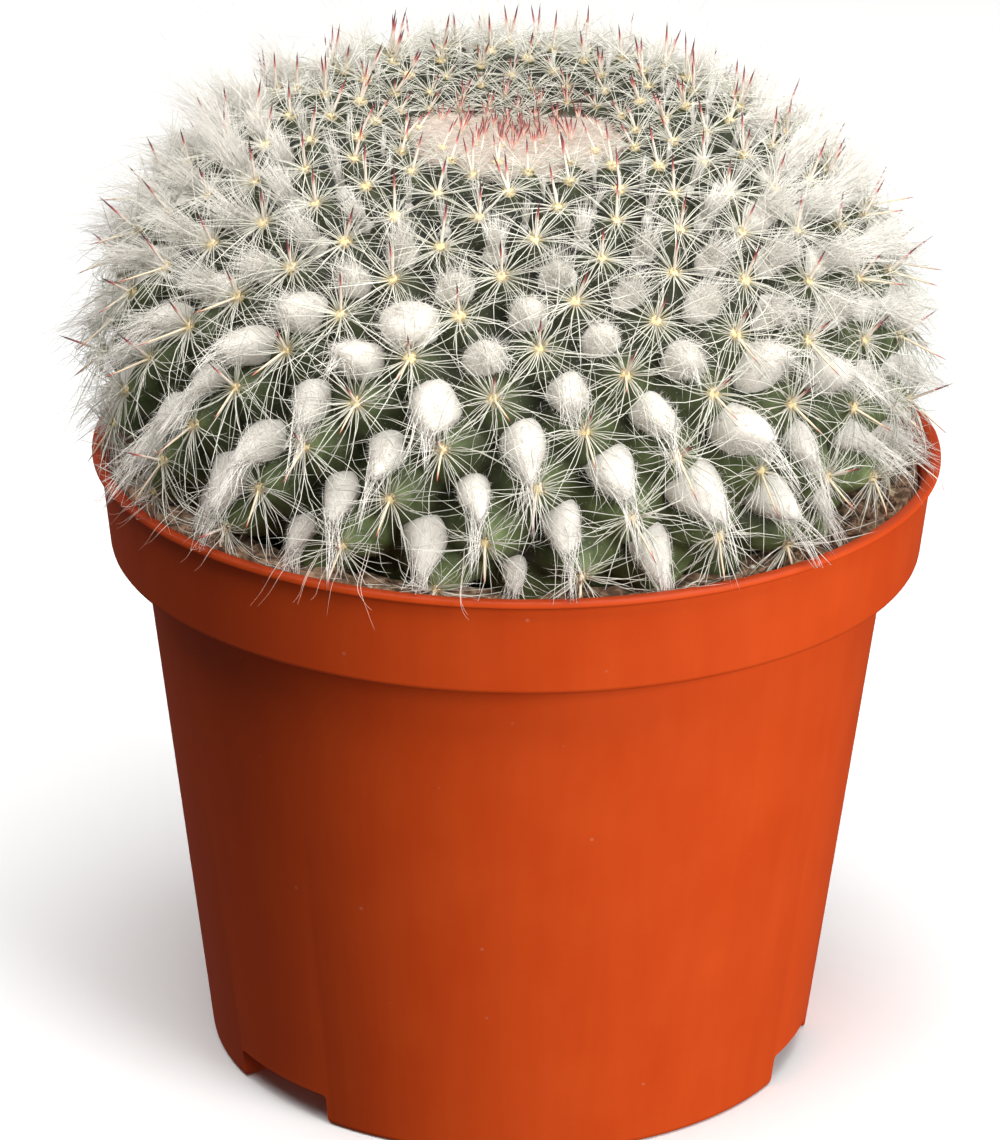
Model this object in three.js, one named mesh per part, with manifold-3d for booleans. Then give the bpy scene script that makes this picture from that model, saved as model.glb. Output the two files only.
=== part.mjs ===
// A round, white-haired cactus in its plastic nursery pot.
// Millimetres, +Z up. The origin is the centre of the circle that the feet stand on, and -Y is the front.
// Three pieces: the pot, the soil that fills it, and the plant, which sits in a plain hole in the soil.

import * as THREE from 'three';
import { ConvexHull } from 'three/addons/math/ConvexHull.js';
import { mergeVertices } from 'three/addons/utils/BufferGeometryUtils.js';
import Module from 'manifold-3d';

const wasm = await Module();
wasm.setup();

const DEG = Math.PI / 180;

// ---------------------------------------------------------------- the pot

const POT_HEIGHT = 91;
const RIM_RADIUS = 60; // outside of the lip
const LIP_HEIGHT = 1.1;
const LIP_OVERHANG = 1.1; // how far the lip stands out from the band under it
const LIP_WIDTH = 1.9; // flat top of the lip
const BAND_HEIGHT = 14.4; // the wide band under the lip, down to the step
const BAND_FLARE = 1.4; // how much wider the band is at its top than at its step
const BAND_EDGE = 0.8; // rounding of the band's lower edge
const STEP_RADIUS = 53; // outside of the body where it meets the step
const BASE_RADIUS = 43.7; // outside of the body where it stands
const BASE_EDGE = 0.6; // rounding of the feet's outer edge
const LIP_EDGE = 0.3; // rounding of the lip's edges
const WALL = 1.3;
const FOOT_HEIGHT = 4.7;
const FOOT_WIDTH = 6.5; // the feet's thickness, from the outside towards the axis
const FLOOR = 1.5; // thickness of the raised floor
const NOTCHES = 3; // gaps between the feet
const NOTCH_ANGLE = 25 * DEG;
const FIRST_NOTCH = -48 * DEG; // from the front, towards +X
const DRAIN_HOLES = 6;
const DRAIN_RADIUS = 4;
const DRAIN_CIRCLE = 24;
const POT_SIDES = 80;

// ---------------------------------------------------------------- the soil

const SOIL_TOP = 87;
const GAP = 0.3; // between the soil and what it touches
const SOIL_SIDES = 48;
const SOIL_RINGS = [3, 6.5, 11]; // rings of points on the soil's top, in from the wall
const SOIL_ROUGHNESS = 0.5; // height of the crumbs and dips at its top
const SOIL_SEED = 4;
const HOLE_STEPS = 12;
const HOLE_START = 0.4; // the hole follows the plant's curve from a little above its equator down

// ---------------------------------------------------------------- the plant's body

const EQUATOR_RADIUS = 56.46; // measured over the tips of the tubercles, as all of these
const EQUATOR_Z = 100.98;
const CROWN_HEIGHT = 43.52; // from the equator up to the crown
const CROWN_FULLNESS = 0.77; // below 1 the shoulders are squarer than an ellipse's
const DIP_DEPTH = 6.54; // the woolly hollow in the middle of the crown
const DIP_RADIUS = 18.66;
const UNDERSIDE_DEPTH = 27.19; // from the equator down to the bottom, which is in the soil
const PIVOT_Z = 90;
const LEAN_FORWARD = 4.81 * DEG; // the plant leans a little towards the front
const LEAN_RIGHT = 0.9 * DEG;
const SHIFT_X = -1.57; // and stands a little to the left in its pot

// The tubercles follow one spiral from the crown down. Number n is turned by one more DIVERGENCE, and lies
// ROW_START + ROW_STEP n + ROW_SPREAD n^4 away from the middle of the crown, along the body's curve.
const DIVERGENCE = -137.4621 * DEG;
const FIRST_ANGLE = 130.14 * DEG;
const ROW_START = 1.18;
const ROW_STEP = 0.2741;
const ROW_SPREAD = 1.6985e-9;
const FIRST_TUBERCLE = 14; // the ones before it are hidden in the crown's wool
const LAST_TUBERCLE = 330;
const TUBERCLE_DEPTH = 0.5; // depth of the valleys, as a share of the tubercles' spacing
const BURIED = 2.5; // a tubercle grows where its tip is at least this high over the soil
const WIDEST_VALLEY = 2.6; // longest side, in spacings, of a triangle of tips with a valley in its middle
const CROWN_SINK = 1; // the middle of the crown lies this far under the tips' surface
const UNDERSIDE_RINGS = [24, 18, 10]; // points of the underside, ring by ring
const UNDERSIDE_START = 0.12; // of a ring's step, between the lowest tips and the first ring

// ---------------------------------------------------------------- spines and tufts

const SPINE_SEED = 11;
const SPINE_ROOT = 0.62; // width of a spine at its root
const SPINE_CLEARANCE = 0.62; // between two spines' axes
const POT_CLEARANCE = 1; // between a spine's axis and the pot
const SOIL_CLEARANCE = 1.2;
const PATH_STEPS = 12; // places along a spine that are looked at for the pot and the soil
const TRIES = 24;
const REACH = 69; // no spine ends further from the pot's axis
const UPHILL = 0.8; // share of a direction that points up to the crown, for the central spines

// Tilt over the surface in degrees, and length.
const CENTRAL_SPINE = { tilt: [50, 68], length: [7, 9] };
const HANGING_SPINE = { tilt: [40, 58], length: [7, 9] };
const RADIAL_SPINE = { tilt: [18, 36], length: [8, 12.5] };
const SOFT_HAIR = { tilt: [45, 70], length: [12, 17] };
const SOFT_HAIRS = 0.4; // share of the low spines that are long and soft
const STEEPER = 30; // degrees, for the radial spines nearest the crown
const STEEP_BEFORE = 60;
const GROWN_UP = 110; // from this tubercle down the spines have their whole length
const YOUNGEST = 0.3; // length of the first radial spines, as a share of that
const YOUNGEST_CENTRAL = 0.55; // the central spines start longer
const STUB_LENGTH = 2.5; // a spine with no room for its whole length
const STUB_SLANT = 0.5;

const TUFT_START = 158; // from this tubercle down, each has a tuft of wool above it
const TUFT_STEPS = [21, 34]; // the tuft of tubercle n stands between it, n - 21 and n - 34
const TUFT_ROOT = 1.5;
const LOCK_TILT = [62, 74]; // degrees
const LOCK_HEIGHT = [0.8, 0.97]; // as a share of the valley's depth
const HANGING_START = TUFT_START + 20; // from here down a spine hangs from each tubercle
const SOFT_START = TUFT_START + 30;

// ---------------------------------------------------------------- helpers

function seeded(seed) {
  let state = seed >>> 0;
  return function draw(low = 0, high = 1) {
    state = (Math.imul(state, 1664525) + 1013904223) >>> 0;
    return low + ((high - low) * state) / 2 ** 32;
  };
}

// A point at an angle from the front, counted towards +X, around a vertical axis.
function around(angle, radius, z) {
  return new THREE.Vector3(radius * Math.sin(angle), -radius * Math.cos(angle), z);
}

function solidOf(geometry) {
  const bare = geometry.clone();
  bare.deleteAttribute('normal');
  bare.deleteAttribute('uv');
  const merged = mergeVertices(bare, 1e-4);
  return new wasm.Manifold(
    new wasm.Mesh({
      numProp: 3,
      vertProperties: merged.attributes.position.array,
      triVerts: new Uint32Array(merged.index.array),
    }),
  );
}

function geometryOf(solid) {
  const mesh = solid.getMesh();
  const geometry = new THREE.BufferGeometry();
  geometry.setAttribute('position', new THREE.BufferAttribute(mesh.vertProperties, 3));
  geometry.setIndex(new THREE.BufferAttribute(mesh.triVerts, 1));
  return geometry;
}

// A solid of revolution about Z from [radius, z] pairs, given from the bottom's middle outwards and up.
function turned(profile, sides) {
  const points = profile.map(([radius, z]) => new THREE.Vector2(radius, z));
  return new THREE.LatheGeometry(points, sides).rotateX(Math.PI / 2);
}

// ---------------------------------------------------------------- making the pot

const STEP_Z = POT_HEIGHT - BAND_HEIGHT;
const BAND_TOP_RADIUS = RIM_RADIUS - LIP_OVERHANG;
const BAND_LOW_RADIUS = BAND_TOP_RADIUS - BAND_FLARE;
const FLOOR_TOP = FOOT_HEIGHT + FLOOR;

// Outside radius of the body below the step.
function bodyRadius(z) {
  return BASE_RADIUS + ((STEP_RADIUS - BASE_RADIUS) * z) / STEP_Z;
}

function bandRadius(z) {
  return BAND_LOW_RADIUS + (BAND_FLARE * (z - STEP_Z)) / BAND_HEIGHT;
}

function potOutside() {
  return [
    [0, FOOT_HEIGHT],
    [BASE_RADIUS - FOOT_WIDTH, FOOT_HEIGHT],
    [BASE_RADIUS - FOOT_WIDTH, 0],
    [BASE_RADIUS - BASE_EDGE, 0],
    [BASE_RADIUS, BASE_EDGE],
    [STEP_RADIUS, STEP_Z],
    [BAND_LOW_RADIUS - BAND_EDGE, STEP_Z],
    [BAND_LOW_RADIUS, STEP_Z + BAND_EDGE],
    [BAND_TOP_RADIUS, POT_HEIGHT - LIP_HEIGHT - LIP_EDGE],
    [RIM_RADIUS, POT_HEIGHT - LIP_HEIGHT],
    [RIM_RADIUS, POT_HEIGHT - LIP_EDGE],
    [RIM_RADIUS - LIP_EDGE, POT_HEIGHT],
  ];
}

function potInside() {
  return [
    [RIM_RADIUS - LIP_WIDTH, POT_HEIGHT],
    [bandRadius(POT_HEIGHT - 1) - WALL, POT_HEIGHT - 1],
    [bandRadius(STEP_Z + WALL) - WALL, STEP_Z + WALL],
    [STEP_RADIUS - WALL, STEP_Z + WALL],
    [bodyRadius(FLOOR_TOP) - WALL, FLOOR_TOP],
    [0, FLOOR_TOP],
  ];
}

// A wedge that cuts the ring of feet open.
function notchCutter(angle) {
  const inner = BASE_RADIUS - FOOT_WIDTH - 2;
  const outer = BASE_RADIUS + 3;
  const wedge = new THREE.Shape();
  wedge.absarc(0, 0, outer, -NOTCH_ANGLE / 2, NOTCH_ANGLE / 2, false);
  wedge.absarc(0, 0, inner, NOTCH_ANGLE / 2, -NOTCH_ANGLE / 2, true);
  const settings = { depth: FOOT_HEIGHT + 1, bevelEnabled: false, curveSegments: 6 };
  const cutter = new THREE.ExtrudeGeometry(wedge, settings);
  return cutter.translate(0, 0, -1).rotateZ(angle - Math.PI / 2);
}

function drainCutter(angle) {
  const place = around(angle, DRAIN_CIRCLE, FOOT_HEIGHT + FLOOR / 2);
  const cutter = new THREE.CylinderGeometry(DRAIN_RADIUS, DRAIN_RADIUS, 3 * FLOOR, 16);
  return cutter.rotateX(Math.PI / 2).translate(place.x, place.y, place.z);
}

function makePot() {
  let pot = solidOf(turned([...potOutside(), ...potInside()], POT_SIDES));
  for (let i = 0; i < NOTCHES; i += 1) {
    pot = pot.subtract(solidOf(notchCutter(FIRST_NOTCH + (i * 2 * Math.PI) / NOTCHES)));
  }
  for (let i = 0; i < DRAIN_HOLES; i += 1) {
    pot = pot.subtract(solidOf(drainCutter((i * 2 * Math.PI) / DRAIN_HOLES)));
  }
  return geometryOf(pot);
}

// ---------------------------------------------------------------- the body's curve

// From the middle of the crown (0) over the equator (0.5) to the middle of the underside (1).
function bodyCurve(share) {
  const turn = share * Math.PI;
  const rise = Math.cos(turn);
  const radius = EQUATOR_RADIUS * Math.sin(turn);
  const dip = DIP_DEPTH * Math.exp(-((radius / DIP_RADIUS) ** 2));
  if (rise > 0) {
    return new THREE.Vector2(radius, EQUATOR_Z + CROWN_HEIGHT * rise ** CROWN_FULLNESS - dip);
  }
  return new THREE.Vector2(radius, EQUATOR_Z + UNDERSIDE_DEPTH * rise - dip);
}

const CURVE_STEPS = 600;
const curve = Array.from({ length: CURVE_STEPS + 1 }, (_, i) => bodyCurve(i / CURVE_STEPS));
const along = [0];
for (let i = 1; i <= CURVE_STEPS; i += 1) {
  along.push(along[i - 1] + curve[i].distanceTo(curve[i - 1]));
}
const CURVE_LENGTH = along[CURVE_STEPS];

// The curve's point, and its outward normal, at a distance from the middle of the crown.
function onCurve(distance) {
  let i = 1;
  while (i < CURVE_STEPS && along[i] < distance) {
    i += 1;
  }
  const share = (distance - along[i - 1]) / (along[i] - along[i - 1]);
  const point = curve[i - 1].clone().lerp(curve[i], share);
  const down = curve[i].clone().sub(curve[i - 1]).normalize();
  return { point, normal: new THREE.Vector2(-down.y, down.x) };
}

// The plant's own upright place in the pot: leaning, and off the middle.
const stand = new THREE.Matrix4()
  .makeTranslation(SHIFT_X, 0, PIVOT_Z)
  .multiply(new THREE.Matrix4().makeRotationY(LEAN_RIGHT))
  .multiply(new THREE.Matrix4().makeRotationX(LEAN_FORWARD))
  .multiply(new THREE.Matrix4().makeTranslation(0, 0, -PIVOT_Z));

// A point of the plant's surface, lifted off it, with the directions outwards and up to the crown.
function onPlant(angle, distance, lift) {
  const { point, normal } = onCurve(distance);
  const place = around(angle, point.x + lift * normal.x, point.y + lift * normal.y).applyMatrix4(stand);
  const out = around(angle, normal.x, normal.y).transformDirection(stand);
  const up = around(angle, -normal.y, normal.x).transformDirection(stand);
  return { place, out, up };
}

// ---------------------------------------------------------------- the tubercles

function tubercleAngle(n) {
  return FIRST_ANGLE + n * DIVERGENCE;
}

function tubercleDistance(n) {
  return ROW_START + ROW_STEP * n + ROW_SPREAD * n ** 4;
}

// Side of the square that one tubercle takes up.
function tubercleSpacing(n) {
  const rowHeight = ROW_STEP + 4 * ROW_SPREAD * n ** 3;
  return Math.sqrt(2 * Math.PI * onCurve(tubercleDistance(n)).point.x * rowHeight);
}

// The matching point of a unit sphere. The hull of such points is the net of triangles of the body.
function onSphere(angle, distance) {
  const turn = (distance / CURVE_LENGTH) * Math.PI;
  return around(angle, Math.sin(turn), Math.cos(turn));
}

// Triangles, as triples of indexes, of the net over a list of points that each have a place on the sphere.
function netOver(points) {
  points.forEach((point, index) => {
    point.sphere.index = index;
  });
  const hull = new ConvexHull().setFromPoints(points.map((point) => point.sphere));
  return hull.faces.map((face) => {
    const edge = face.edge;
    return [edge.tail().point.index, edge.head().point.index, edge.next.head().point.index];
  });
}

function surfacePoint(kind, angle, distance, lift, extra = {}) {
  return { kind, ...onPlant(angle, distance, lift), sphere: onSphere(angle, distance), ...extra };
}

function tubercleTips() {
  const tips = [];
  for (let n = FIRST_TUBERCLE; n <= LAST_TUBERCLE; n += 1) {
    const numbers = { n, spacing: tubercleSpacing(n) };
    const tip = surfacePoint('tip', tubercleAngle(n), tubercleDistance(n), 0, numbers);
    if (tip.place.z > SOIL_TOP + BURIED) {
      tips.push(tip);
    }
  }
  return tips;
}

// The smooth underside, which sits in the soil, and the point in the middle of the crown.
function smoothPoints(lowest) {
  const points = [surfacePoint('crown', 0, 0, -CROWN_SINK)];
  const step = (CURVE_LENGTH - lowest) / UNDERSIDE_RINGS.length;
  UNDERSIDE_RINGS.forEach((count, ring) => {
    const distance = lowest + step * (ring + UNDERSIDE_START);
    for (let i = 0; i < count; i += 1) {
      points.push(surfacePoint('underside', ((i + ring / 2) * 2 * Math.PI) / count, distance, 0));
    }
  });
  return points;
}

// Valleys lie in the middle of each triangle of tips, sunk below the surface of the tips.
function valleyPoints(tips) {
  const valleys = [];
  for (const corners of netOver(tips)) {
    const three = corners.map((corner) => tips[corner]);
    const spacing = three.reduce((sum, tip) => sum + tip.spacing, 0) / 3;
    const sides = three.map((tip, i) => tip.sphere.distanceTo(three[(i + 1) % 3].sphere));
    const longest = Math.max(...sides) * (CURVE_LENGTH / Math.PI);
    const sphere = new THREE.Vector3();
    three.forEach((tip) => sphere.add(tip.sphere));
    sphere.normalize();
    const angle = Math.atan2(sphere.x, -sphere.y);
    const distance = (Math.acos(sphere.z) / Math.PI) * CURVE_LENGTH;
    if (longest < WIDEST_VALLEY * spacing) {
      const n = Math.max(...three.map((tip) => tip.n));
      const lift = -TUBERCLE_DEPTH * spacing;
      valleys.push(surfacePoint('valley', angle, distance, lift, { n, tips: three, spacing }));
    }
  }
  return valleys;
}

// ---------------------------------------------------------------- spines and tufts

const draw = seeded(SPINE_SEED);
const grown = []; // the axes of the spines made so far

// Shortest distance between the segments a-b and c-d.
function segmentDistance(a, b, c, d) {
  const u = b.clone().sub(a);
  const v = d.clone().sub(c);
  const w = a.clone().sub(c);
  const uu = u.dot(u);
  const uv = u.dot(v);
  const vv = v.dot(v);
  const uw = u.dot(w);
  const vw = v.dot(w);
  const cross = uu * vv - uv * uv;
  let s = cross > 1e-9 ? THREE.MathUtils.clamp((uv * vw - vv * uw) / cross, 0, 1) : 0;
  const t = THREE.MathUtils.clamp((uv * s + vw) / vv, 0, 1);
  s = THREE.MathUtils.clamp((uv * t - uw) / uu, 0, 1);
  return a.clone().addScaledVector(u, s).distanceTo(c.clone().addScaledVector(v, t));
}

// Whether a point is free of the pot and the soil.
function isFree(point) {
  const radius = Math.hypot(point.x, point.y);
  const overRim = point.z > POT_HEIGHT + POT_CLEARANCE;
  const insideWall = radius < bandRadius(point.z) - WALL - POT_CLEARANCE;
  const inMouth = insideWall && point.z > SOIL_TOP + SOIL_CLEARANCE;
  return (overRim || inMouth) && radius < REACH;
}

function isRoomFor(root, from, to) {
  for (let i = 1; i <= PATH_STEPS; i += 1) {
    if (!isFree(from.clone().lerp(to, i / PATH_STEPS))) {
      return false;
    }
  }
  return grown.every(
    (spine) => spine.root === root || segmentDistance(from, to, spine.from, spine.to) > SPINE_CLEARANCE,
  );
}

// How a spine stands: its tilt over the surface and its length, by its side of the tip and its age.
function spineHabit(tip, uphill) {
  const age = THREE.MathUtils.clamp(tip.n / GROWN_UP, YOUNGEST, 1);
  const isLow = tip.n > SOFT_START;
  if (uphill > UPHILL && !isLow) {
    return drawn(CENTRAL_SPINE, YOUNGEST_CENTRAL + (1 - YOUNGEST_CENTRAL) * age);
  }
  if (uphill < -UPHILL && tip.n > HANGING_START) {
    return drawn(HANGING_SPINE, 1);
  }
  if (isLow && draw() < SOFT_HAIRS) {
    return drawn(SOFT_HAIR, 1);
  }
  return drawn(RADIAL_SPINE, age, tip.n < STEEP_BEFORE ? STEEPER : 0);
}

function drawn(habit, share, steeper = 0) {
  const tilt = draw(...habit.tilt) + steeper;
  return { tilt: tilt * DEG, length: draw(...habit.length) * share };
}

// The end of a spine that grows from a tip towards the middle of one of the facets around it.
function spineEnd(tip, middle) {
  const flat = middle.clone().sub(tip.place);
  flat.addScaledVector(tip.out, -flat.dot(tip.out)).normalize();
  const uphill = flat.dot(tip.up);
  for (let i = 0; i < TRIES; i += 1) {
    const { tilt, length } = spineHabit(tip, uphill);
    const direction = flat.clone().multiplyScalar(Math.cos(tilt)).addScaledVector(tip.out, Math.sin(tilt));
    const end = tip.place.clone().addScaledVector(direction, length * (1 - i / (2 * TRIES)));
    if (isRoomFor(tip, tip.place, end)) {
      grown.push({ root: tip, from: tip.place, to: end });
      return end;
    }
  }
  const stub = flat.clone().multiplyScalar(STUB_SLANT).add(tip.out).normalize();
  return tip.place.clone().addScaledVector(stub, STUB_LENGTH);
}

// The end of one lock of a tuft of wool, which stays just below the tips of the tubercles around it.
function lockEnd(valley, middle) {
  const flat = middle.clone().sub(valley.place);
  flat.addScaledVector(valley.out, -flat.dot(valley.out)).normalize();
  const tilt = draw(...LOCK_TILT) * DEG;
  const height = TUBERCLE_DEPTH * valley.spacing * draw(...LOCK_HEIGHT);
  return valley.place
    .clone()
    .addScaledVector(valley.out, height)
    .addScaledVector(flat, height / Math.tan(tilt));
}

function hasTuft(valley) {
  const steps = valley.tips.map((tip) => valley.n - tip.n);
  return valley.n >= TUFT_START && TUFT_STEPS.every((step) => steps.includes(step));
}

// Width of what grows round a point, one in each facet: spines on a tip, locks of wool in an axil.
function rootWidth(point) {
  if (point.kind === 'tip') {
    return SPINE_ROOT;
  }
  if (point.kind === 'valley' && hasTuft(point)) {
    return TUFT_ROOT;
  }
  return 0;
}

// ---------------------------------------------------------------- making the plant

// Copies each triangle of the net, with a three-sided spike raised from each corner that grows one.
class PlantSkin {
  constructor(points, net) {
    this.points = points;
    this.net = net;
    this.positions = points.flatMap((point) => point.place.toArray());
    this.triangles = [];
    this.edgePoints = new Map();
  }

  addPoint(place) {
    this.positions.push(place.x, place.y, place.z);
    return this.positions.length / 3 - 1;
  }

  // The point of the edge from one corner towards another where the spikes of that corner have their root.
  edgePoint(from, to, width) {
    const key = `${from}-${to}`;
    if (!this.edgePoints.has(key)) {
      const start = this.points[from].place;
      const step = this.points[to].place.clone().sub(start).setLength(width);
      this.edgePoints.set(key, this.addPoint(step.add(start)));
    }
    return this.edgePoints.get(key);
  }

  addSpike(base, end) {
    const tip = this.addPoint(end);
    base.forEach((corner, i) => this.triangles.push([corner, base[(i + 1) % 3], tip]));
  }

  addFacet(facet) {
    const middle = new THREE.Vector3();
    facet.forEach((corner) => middle.addScaledVector(this.points[corner].place, 1 / 3));
    const outline = [];
    facet.forEach((corner, i) => {
      const next = facet[(i + 1) % 3];
      const last = facet[(i + 2) % 3];
      const point = this.points[corner];
      const width = point.width;
      if (width === 0) {
        outline.push(corner);
        return;
      }
      const base = [corner, this.edgePoint(corner, next, width), this.edgePoint(corner, last, width)];
      const end = point.kind === 'tip' ? spineEnd(point, middle) : lockEnd(point, middle);
      this.addSpike(base, end);
      outline.push(base[2], base[1]);
    });
    this.addPolygon(outline);
  }

  addPolygon(outline) {
    for (let i = 1; i < outline.length - 1; i += 1) {
      this.triangles.push([outline[0], outline[i], outline[i + 1]]);
    }
  }

  geometry() {
    this.net.forEach((facet) => this.addFacet(facet));
    const geometry = new THREE.BufferGeometry();
    geometry.setAttribute('position', new THREE.Float32BufferAttribute(this.positions, 3));
    geometry.setIndex(this.triangles.flat());
    return geometry;
  }
}

function makePlant() {
  const tips = tubercleTips();
  const lowest = Math.max(...tips.map((tip) => tubercleDistance(tip.n)));
  const points = [...tips, ...valleyPoints(tips), ...smoothPoints(lowest)];
  points.forEach((point) => {
    point.width = rootWidth(point);
  });
  return new PlantSkin(points, netOver(points)).geometry();
}

// ---------------------------------------------------------------- making the soil

// The plant's smooth outer form, a little larger all round, which leaves its hole in the soil.
function holeCutter() {
  const profile = [];
  for (let i = HOLE_STEPS; i >= 0; i -= 1) {
    const share = HOLE_START + ((1 - HOLE_START) * i) / HOLE_STEPS;
    const { point, normal } = onCurve(CURVE_LENGTH * share);
    const radius = i === HOLE_STEPS ? 0 : Math.max(point.x + GAP * normal.x, 0);
    profile.push([radius, point.y + GAP * normal.y]);
  }
  profile.push([0, profile[profile.length - 1][1]]);
  return turned(profile, SOIL_SIDES).applyMatrix4(stand);
}

function makeSoil() {
  const roughness = seeded(SOIL_SEED);
  const bandBottom = STEP_Z + WALL + GAP;
  const wallRadius = bandRadius(SOIL_TOP) - WALL - GAP;
  const profile = [
    [0, FLOOR_TOP + GAP],
    [bodyRadius(FLOOR_TOP) - WALL - GAP, FLOOR_TOP + GAP],
    [STEP_RADIUS - WALL - GAP, bandBottom],
    [bandRadius(bandBottom) - WALL - GAP, bandBottom],
    [wallRadius, SOIL_TOP],
    ...SOIL_RINGS.map((inset) => [wallRadius - inset, SOIL_TOP]),
    [0, SOIL_TOP],
  ];
  const bare = turned(profile, SOIL_SIDES).deleteAttribute('normal').deleteAttribute('uv');
  const soil = mergeVertices(bare, 1e-3);
  const { position } = soil.attributes;
  for (let i = 0; i < position.count; i += 1) {
    if (position.getZ(i) > SOIL_TOP - 0.01) {
      position.setZ(i, SOIL_TOP + roughness(-SOIL_ROUGHNESS, SOIL_ROUGHNESS));
    }
  }
  return geometryOf(solidOf(soil).subtract(solidOf(holeCutter())));
}

// ---------------------------------------------------------------- the part

function piece(name, geometry, color, roughness) {
  const material = new THREE.MeshStandardMaterial({ color, roughness, metalness: 0 });
  const mesh = new THREE.Mesh(geometry, material);
  mesh.name = name;
  return mesh;
}

const part = new THREE.Group();
part.add(piece('pot', makePot(), '#c8431f', 0.5));
part.add(piece('soil', makeSoil(), '#33261d', 1));
part.add(piece('cactus', makePlant(), '#56654a', 0.8));

export default part;
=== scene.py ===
"""A round, white-haired cactus in its plastic nursery pot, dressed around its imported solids.

Sizes are in millimetres and become metres where a mesh is made. +Z is up, and -Y is the front. The pot,
the soil and the plant's curve repeat the sizes of the part's own source. Sizes in materials are in metres.
"""

import math

import bpy
import numpy as np
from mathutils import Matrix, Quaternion, Vector, noise


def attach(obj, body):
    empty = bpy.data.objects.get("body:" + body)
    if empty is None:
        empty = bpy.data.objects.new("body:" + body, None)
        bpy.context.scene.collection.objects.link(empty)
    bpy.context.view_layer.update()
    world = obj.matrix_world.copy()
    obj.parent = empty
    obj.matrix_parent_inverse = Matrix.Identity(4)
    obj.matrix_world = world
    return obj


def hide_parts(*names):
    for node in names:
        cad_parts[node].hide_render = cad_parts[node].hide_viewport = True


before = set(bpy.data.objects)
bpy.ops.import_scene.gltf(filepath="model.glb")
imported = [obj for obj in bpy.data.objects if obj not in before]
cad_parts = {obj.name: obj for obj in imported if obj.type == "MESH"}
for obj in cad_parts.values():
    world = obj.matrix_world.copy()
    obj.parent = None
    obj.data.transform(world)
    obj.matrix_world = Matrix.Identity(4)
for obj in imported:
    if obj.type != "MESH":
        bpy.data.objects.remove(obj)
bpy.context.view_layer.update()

MM = 0.001
DEG = math.pi / 180
TURN = 2 * math.pi

# -------- the view

IMAGE_WIDTH = 1000  # pixels of the photograph
FOCAL_PIXELS = 5234  # the lens, measured in the same pixels
CENTRE_PIXEL = 508  # where the lens's own axis meets the picture, from the left
SENSOR = 36
CAMERA_TARGET = (-1, 0, 70.8)
CAMERA_DISTANCE = 749
CAMERA_ELEVATION = 22.5 * DEG
CAMERA_ROLL = 0.7 * DEG

# -------- the pot

POT_HEIGHT = 91
RIM_RADIUS = 60
LIP_HEIGHT = 0.9
LIP_WIDTH = 1.6
LIP_ROUNDING = 0.3
BAND_HEIGHT = 14.4
BAND_TOP_RADIUS = 58.9
BAND_LOW_RADIUS = 57.5
BAND_EDGE = 0.8
STEP_Z = POT_HEIGHT - BAND_HEIGHT
STEP_RADIUS = 53
BASE_RADIUS = 43.7
WALL = 1.3
FOOT_HEIGHT = 4.7
FOOT_WIDTH = 6.5
FLOOR_TOP = 6.2
NOTCHES = 3
NOTCH_ANGLE = 25 * DEG
FIRST_NOTCH = -48 * DEG  # from the front, towards +X
FOOT_ROUNDING = 1.2  # of the feet's lower corners
NOTCH_ROUNDING = 0.7  # of the notches' upper corners
DRAIN_HOLES = 6
DRAIN_RADIUS = 4
DRAIN_CIRCLE = 24
POT_STEPS = 240

# -------- the soil

SOIL_TOP = 87
GAP = 0.3  # between the soil and the pot's wall
SOIL_STEPS = 300
ROUGHNESS = 1.3  # of the soil's top
HEAP = 1.5  # the soil rises by this much towards the wall
FRONT_HEAP = 2.2  # and by this much more at the front left
FRONT_HEAP_ANGLE = -48 * DEG
FRONT_HEAP_WIDTH = 36 * DEG
SOIL_RING = 13  # width of the ring that the loose bits lie on

# -------- the plant

EQUATOR_RADIUS = 56.46  # over the tips of the tubercles, as all of the curve's sizes
EQUATOR_Z = 100.98
CROWN_HEIGHT = 43.52
CROWN_FULLNESS = 0.77
DIP_DEPTH = 6.54
DIP_RADIUS = 18.66
UNDERSIDE_DEPTH = 27.19
PIVOT = np.array((0, 0, 90))
LEAN_FORWARD = 4.81 * DEG
LEAN_RIGHT = 0.9 * DEG
SHIFT = np.array((-1.57, 0, 0))
DIVERGENCE = -137.4621 * DEG
FIRST_ANGLE = 130.14 * DEG
ROW_START = 1.18
ROW_STEP = 0.2741
ROW_SPREAD = 1.6985e-9
LAST_TUBERCLE = 330
TUBERCLE_DEPTH = 0.5
BURIED = 1.5  # an areole shows where it is at least this high over the soil
TUFT_STEPS = (21, 34)  # tuft n stands between the tubercles n, n - 21 and n - 34
FOURTH_STEP = 13  # and leans a little towards tubercle n - 13
FOURTH_SHARE = 0.15
TUFT_START = 92
TUFT_FULL = 180  # from this tubercle down the tufts have their full size
HANGING_START = 188  # from here down the tufts shrink and let down long strands
HANGING_FULL = 242
TUFT_RADIUS = (0.3, 2.95, 0.9)  # of the youngest, what growing adds, and what hanging takes away
TUFT_REACH = (2, 5.2, 3)  # the same for how far its brush stands out

CROWN_WOOL_RADIUS = 12.4
CROWN_WOOL_SHIFT = 6.1  # the wool reaches this much further in front, and less far behind
CROWN_WOOL_SIDES = 1.4  # and a little further at the sides
FELT_MARGIN = 0.8  # areoles this far inside the wool's edge have no radial spines
FELT_MARGIN_BEHIND = 3.6  # or this much further behind

rng = np.random.default_rng(7)
UPWARDS = np.array((0, 0, 1))


# -------- helpers


def choose(low, high, shape=None):
    """Random numbers between two limits."""
    return rng.uniform(low, high, shape)


def scattered(count):
    """As many random vectors, each part of them around zero."""
    return rng.normal(size=(count, 3))


def unit(vectors):
    return vectors / np.linalg.norm(vectors, axis=-1, keepdims=True)


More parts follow.
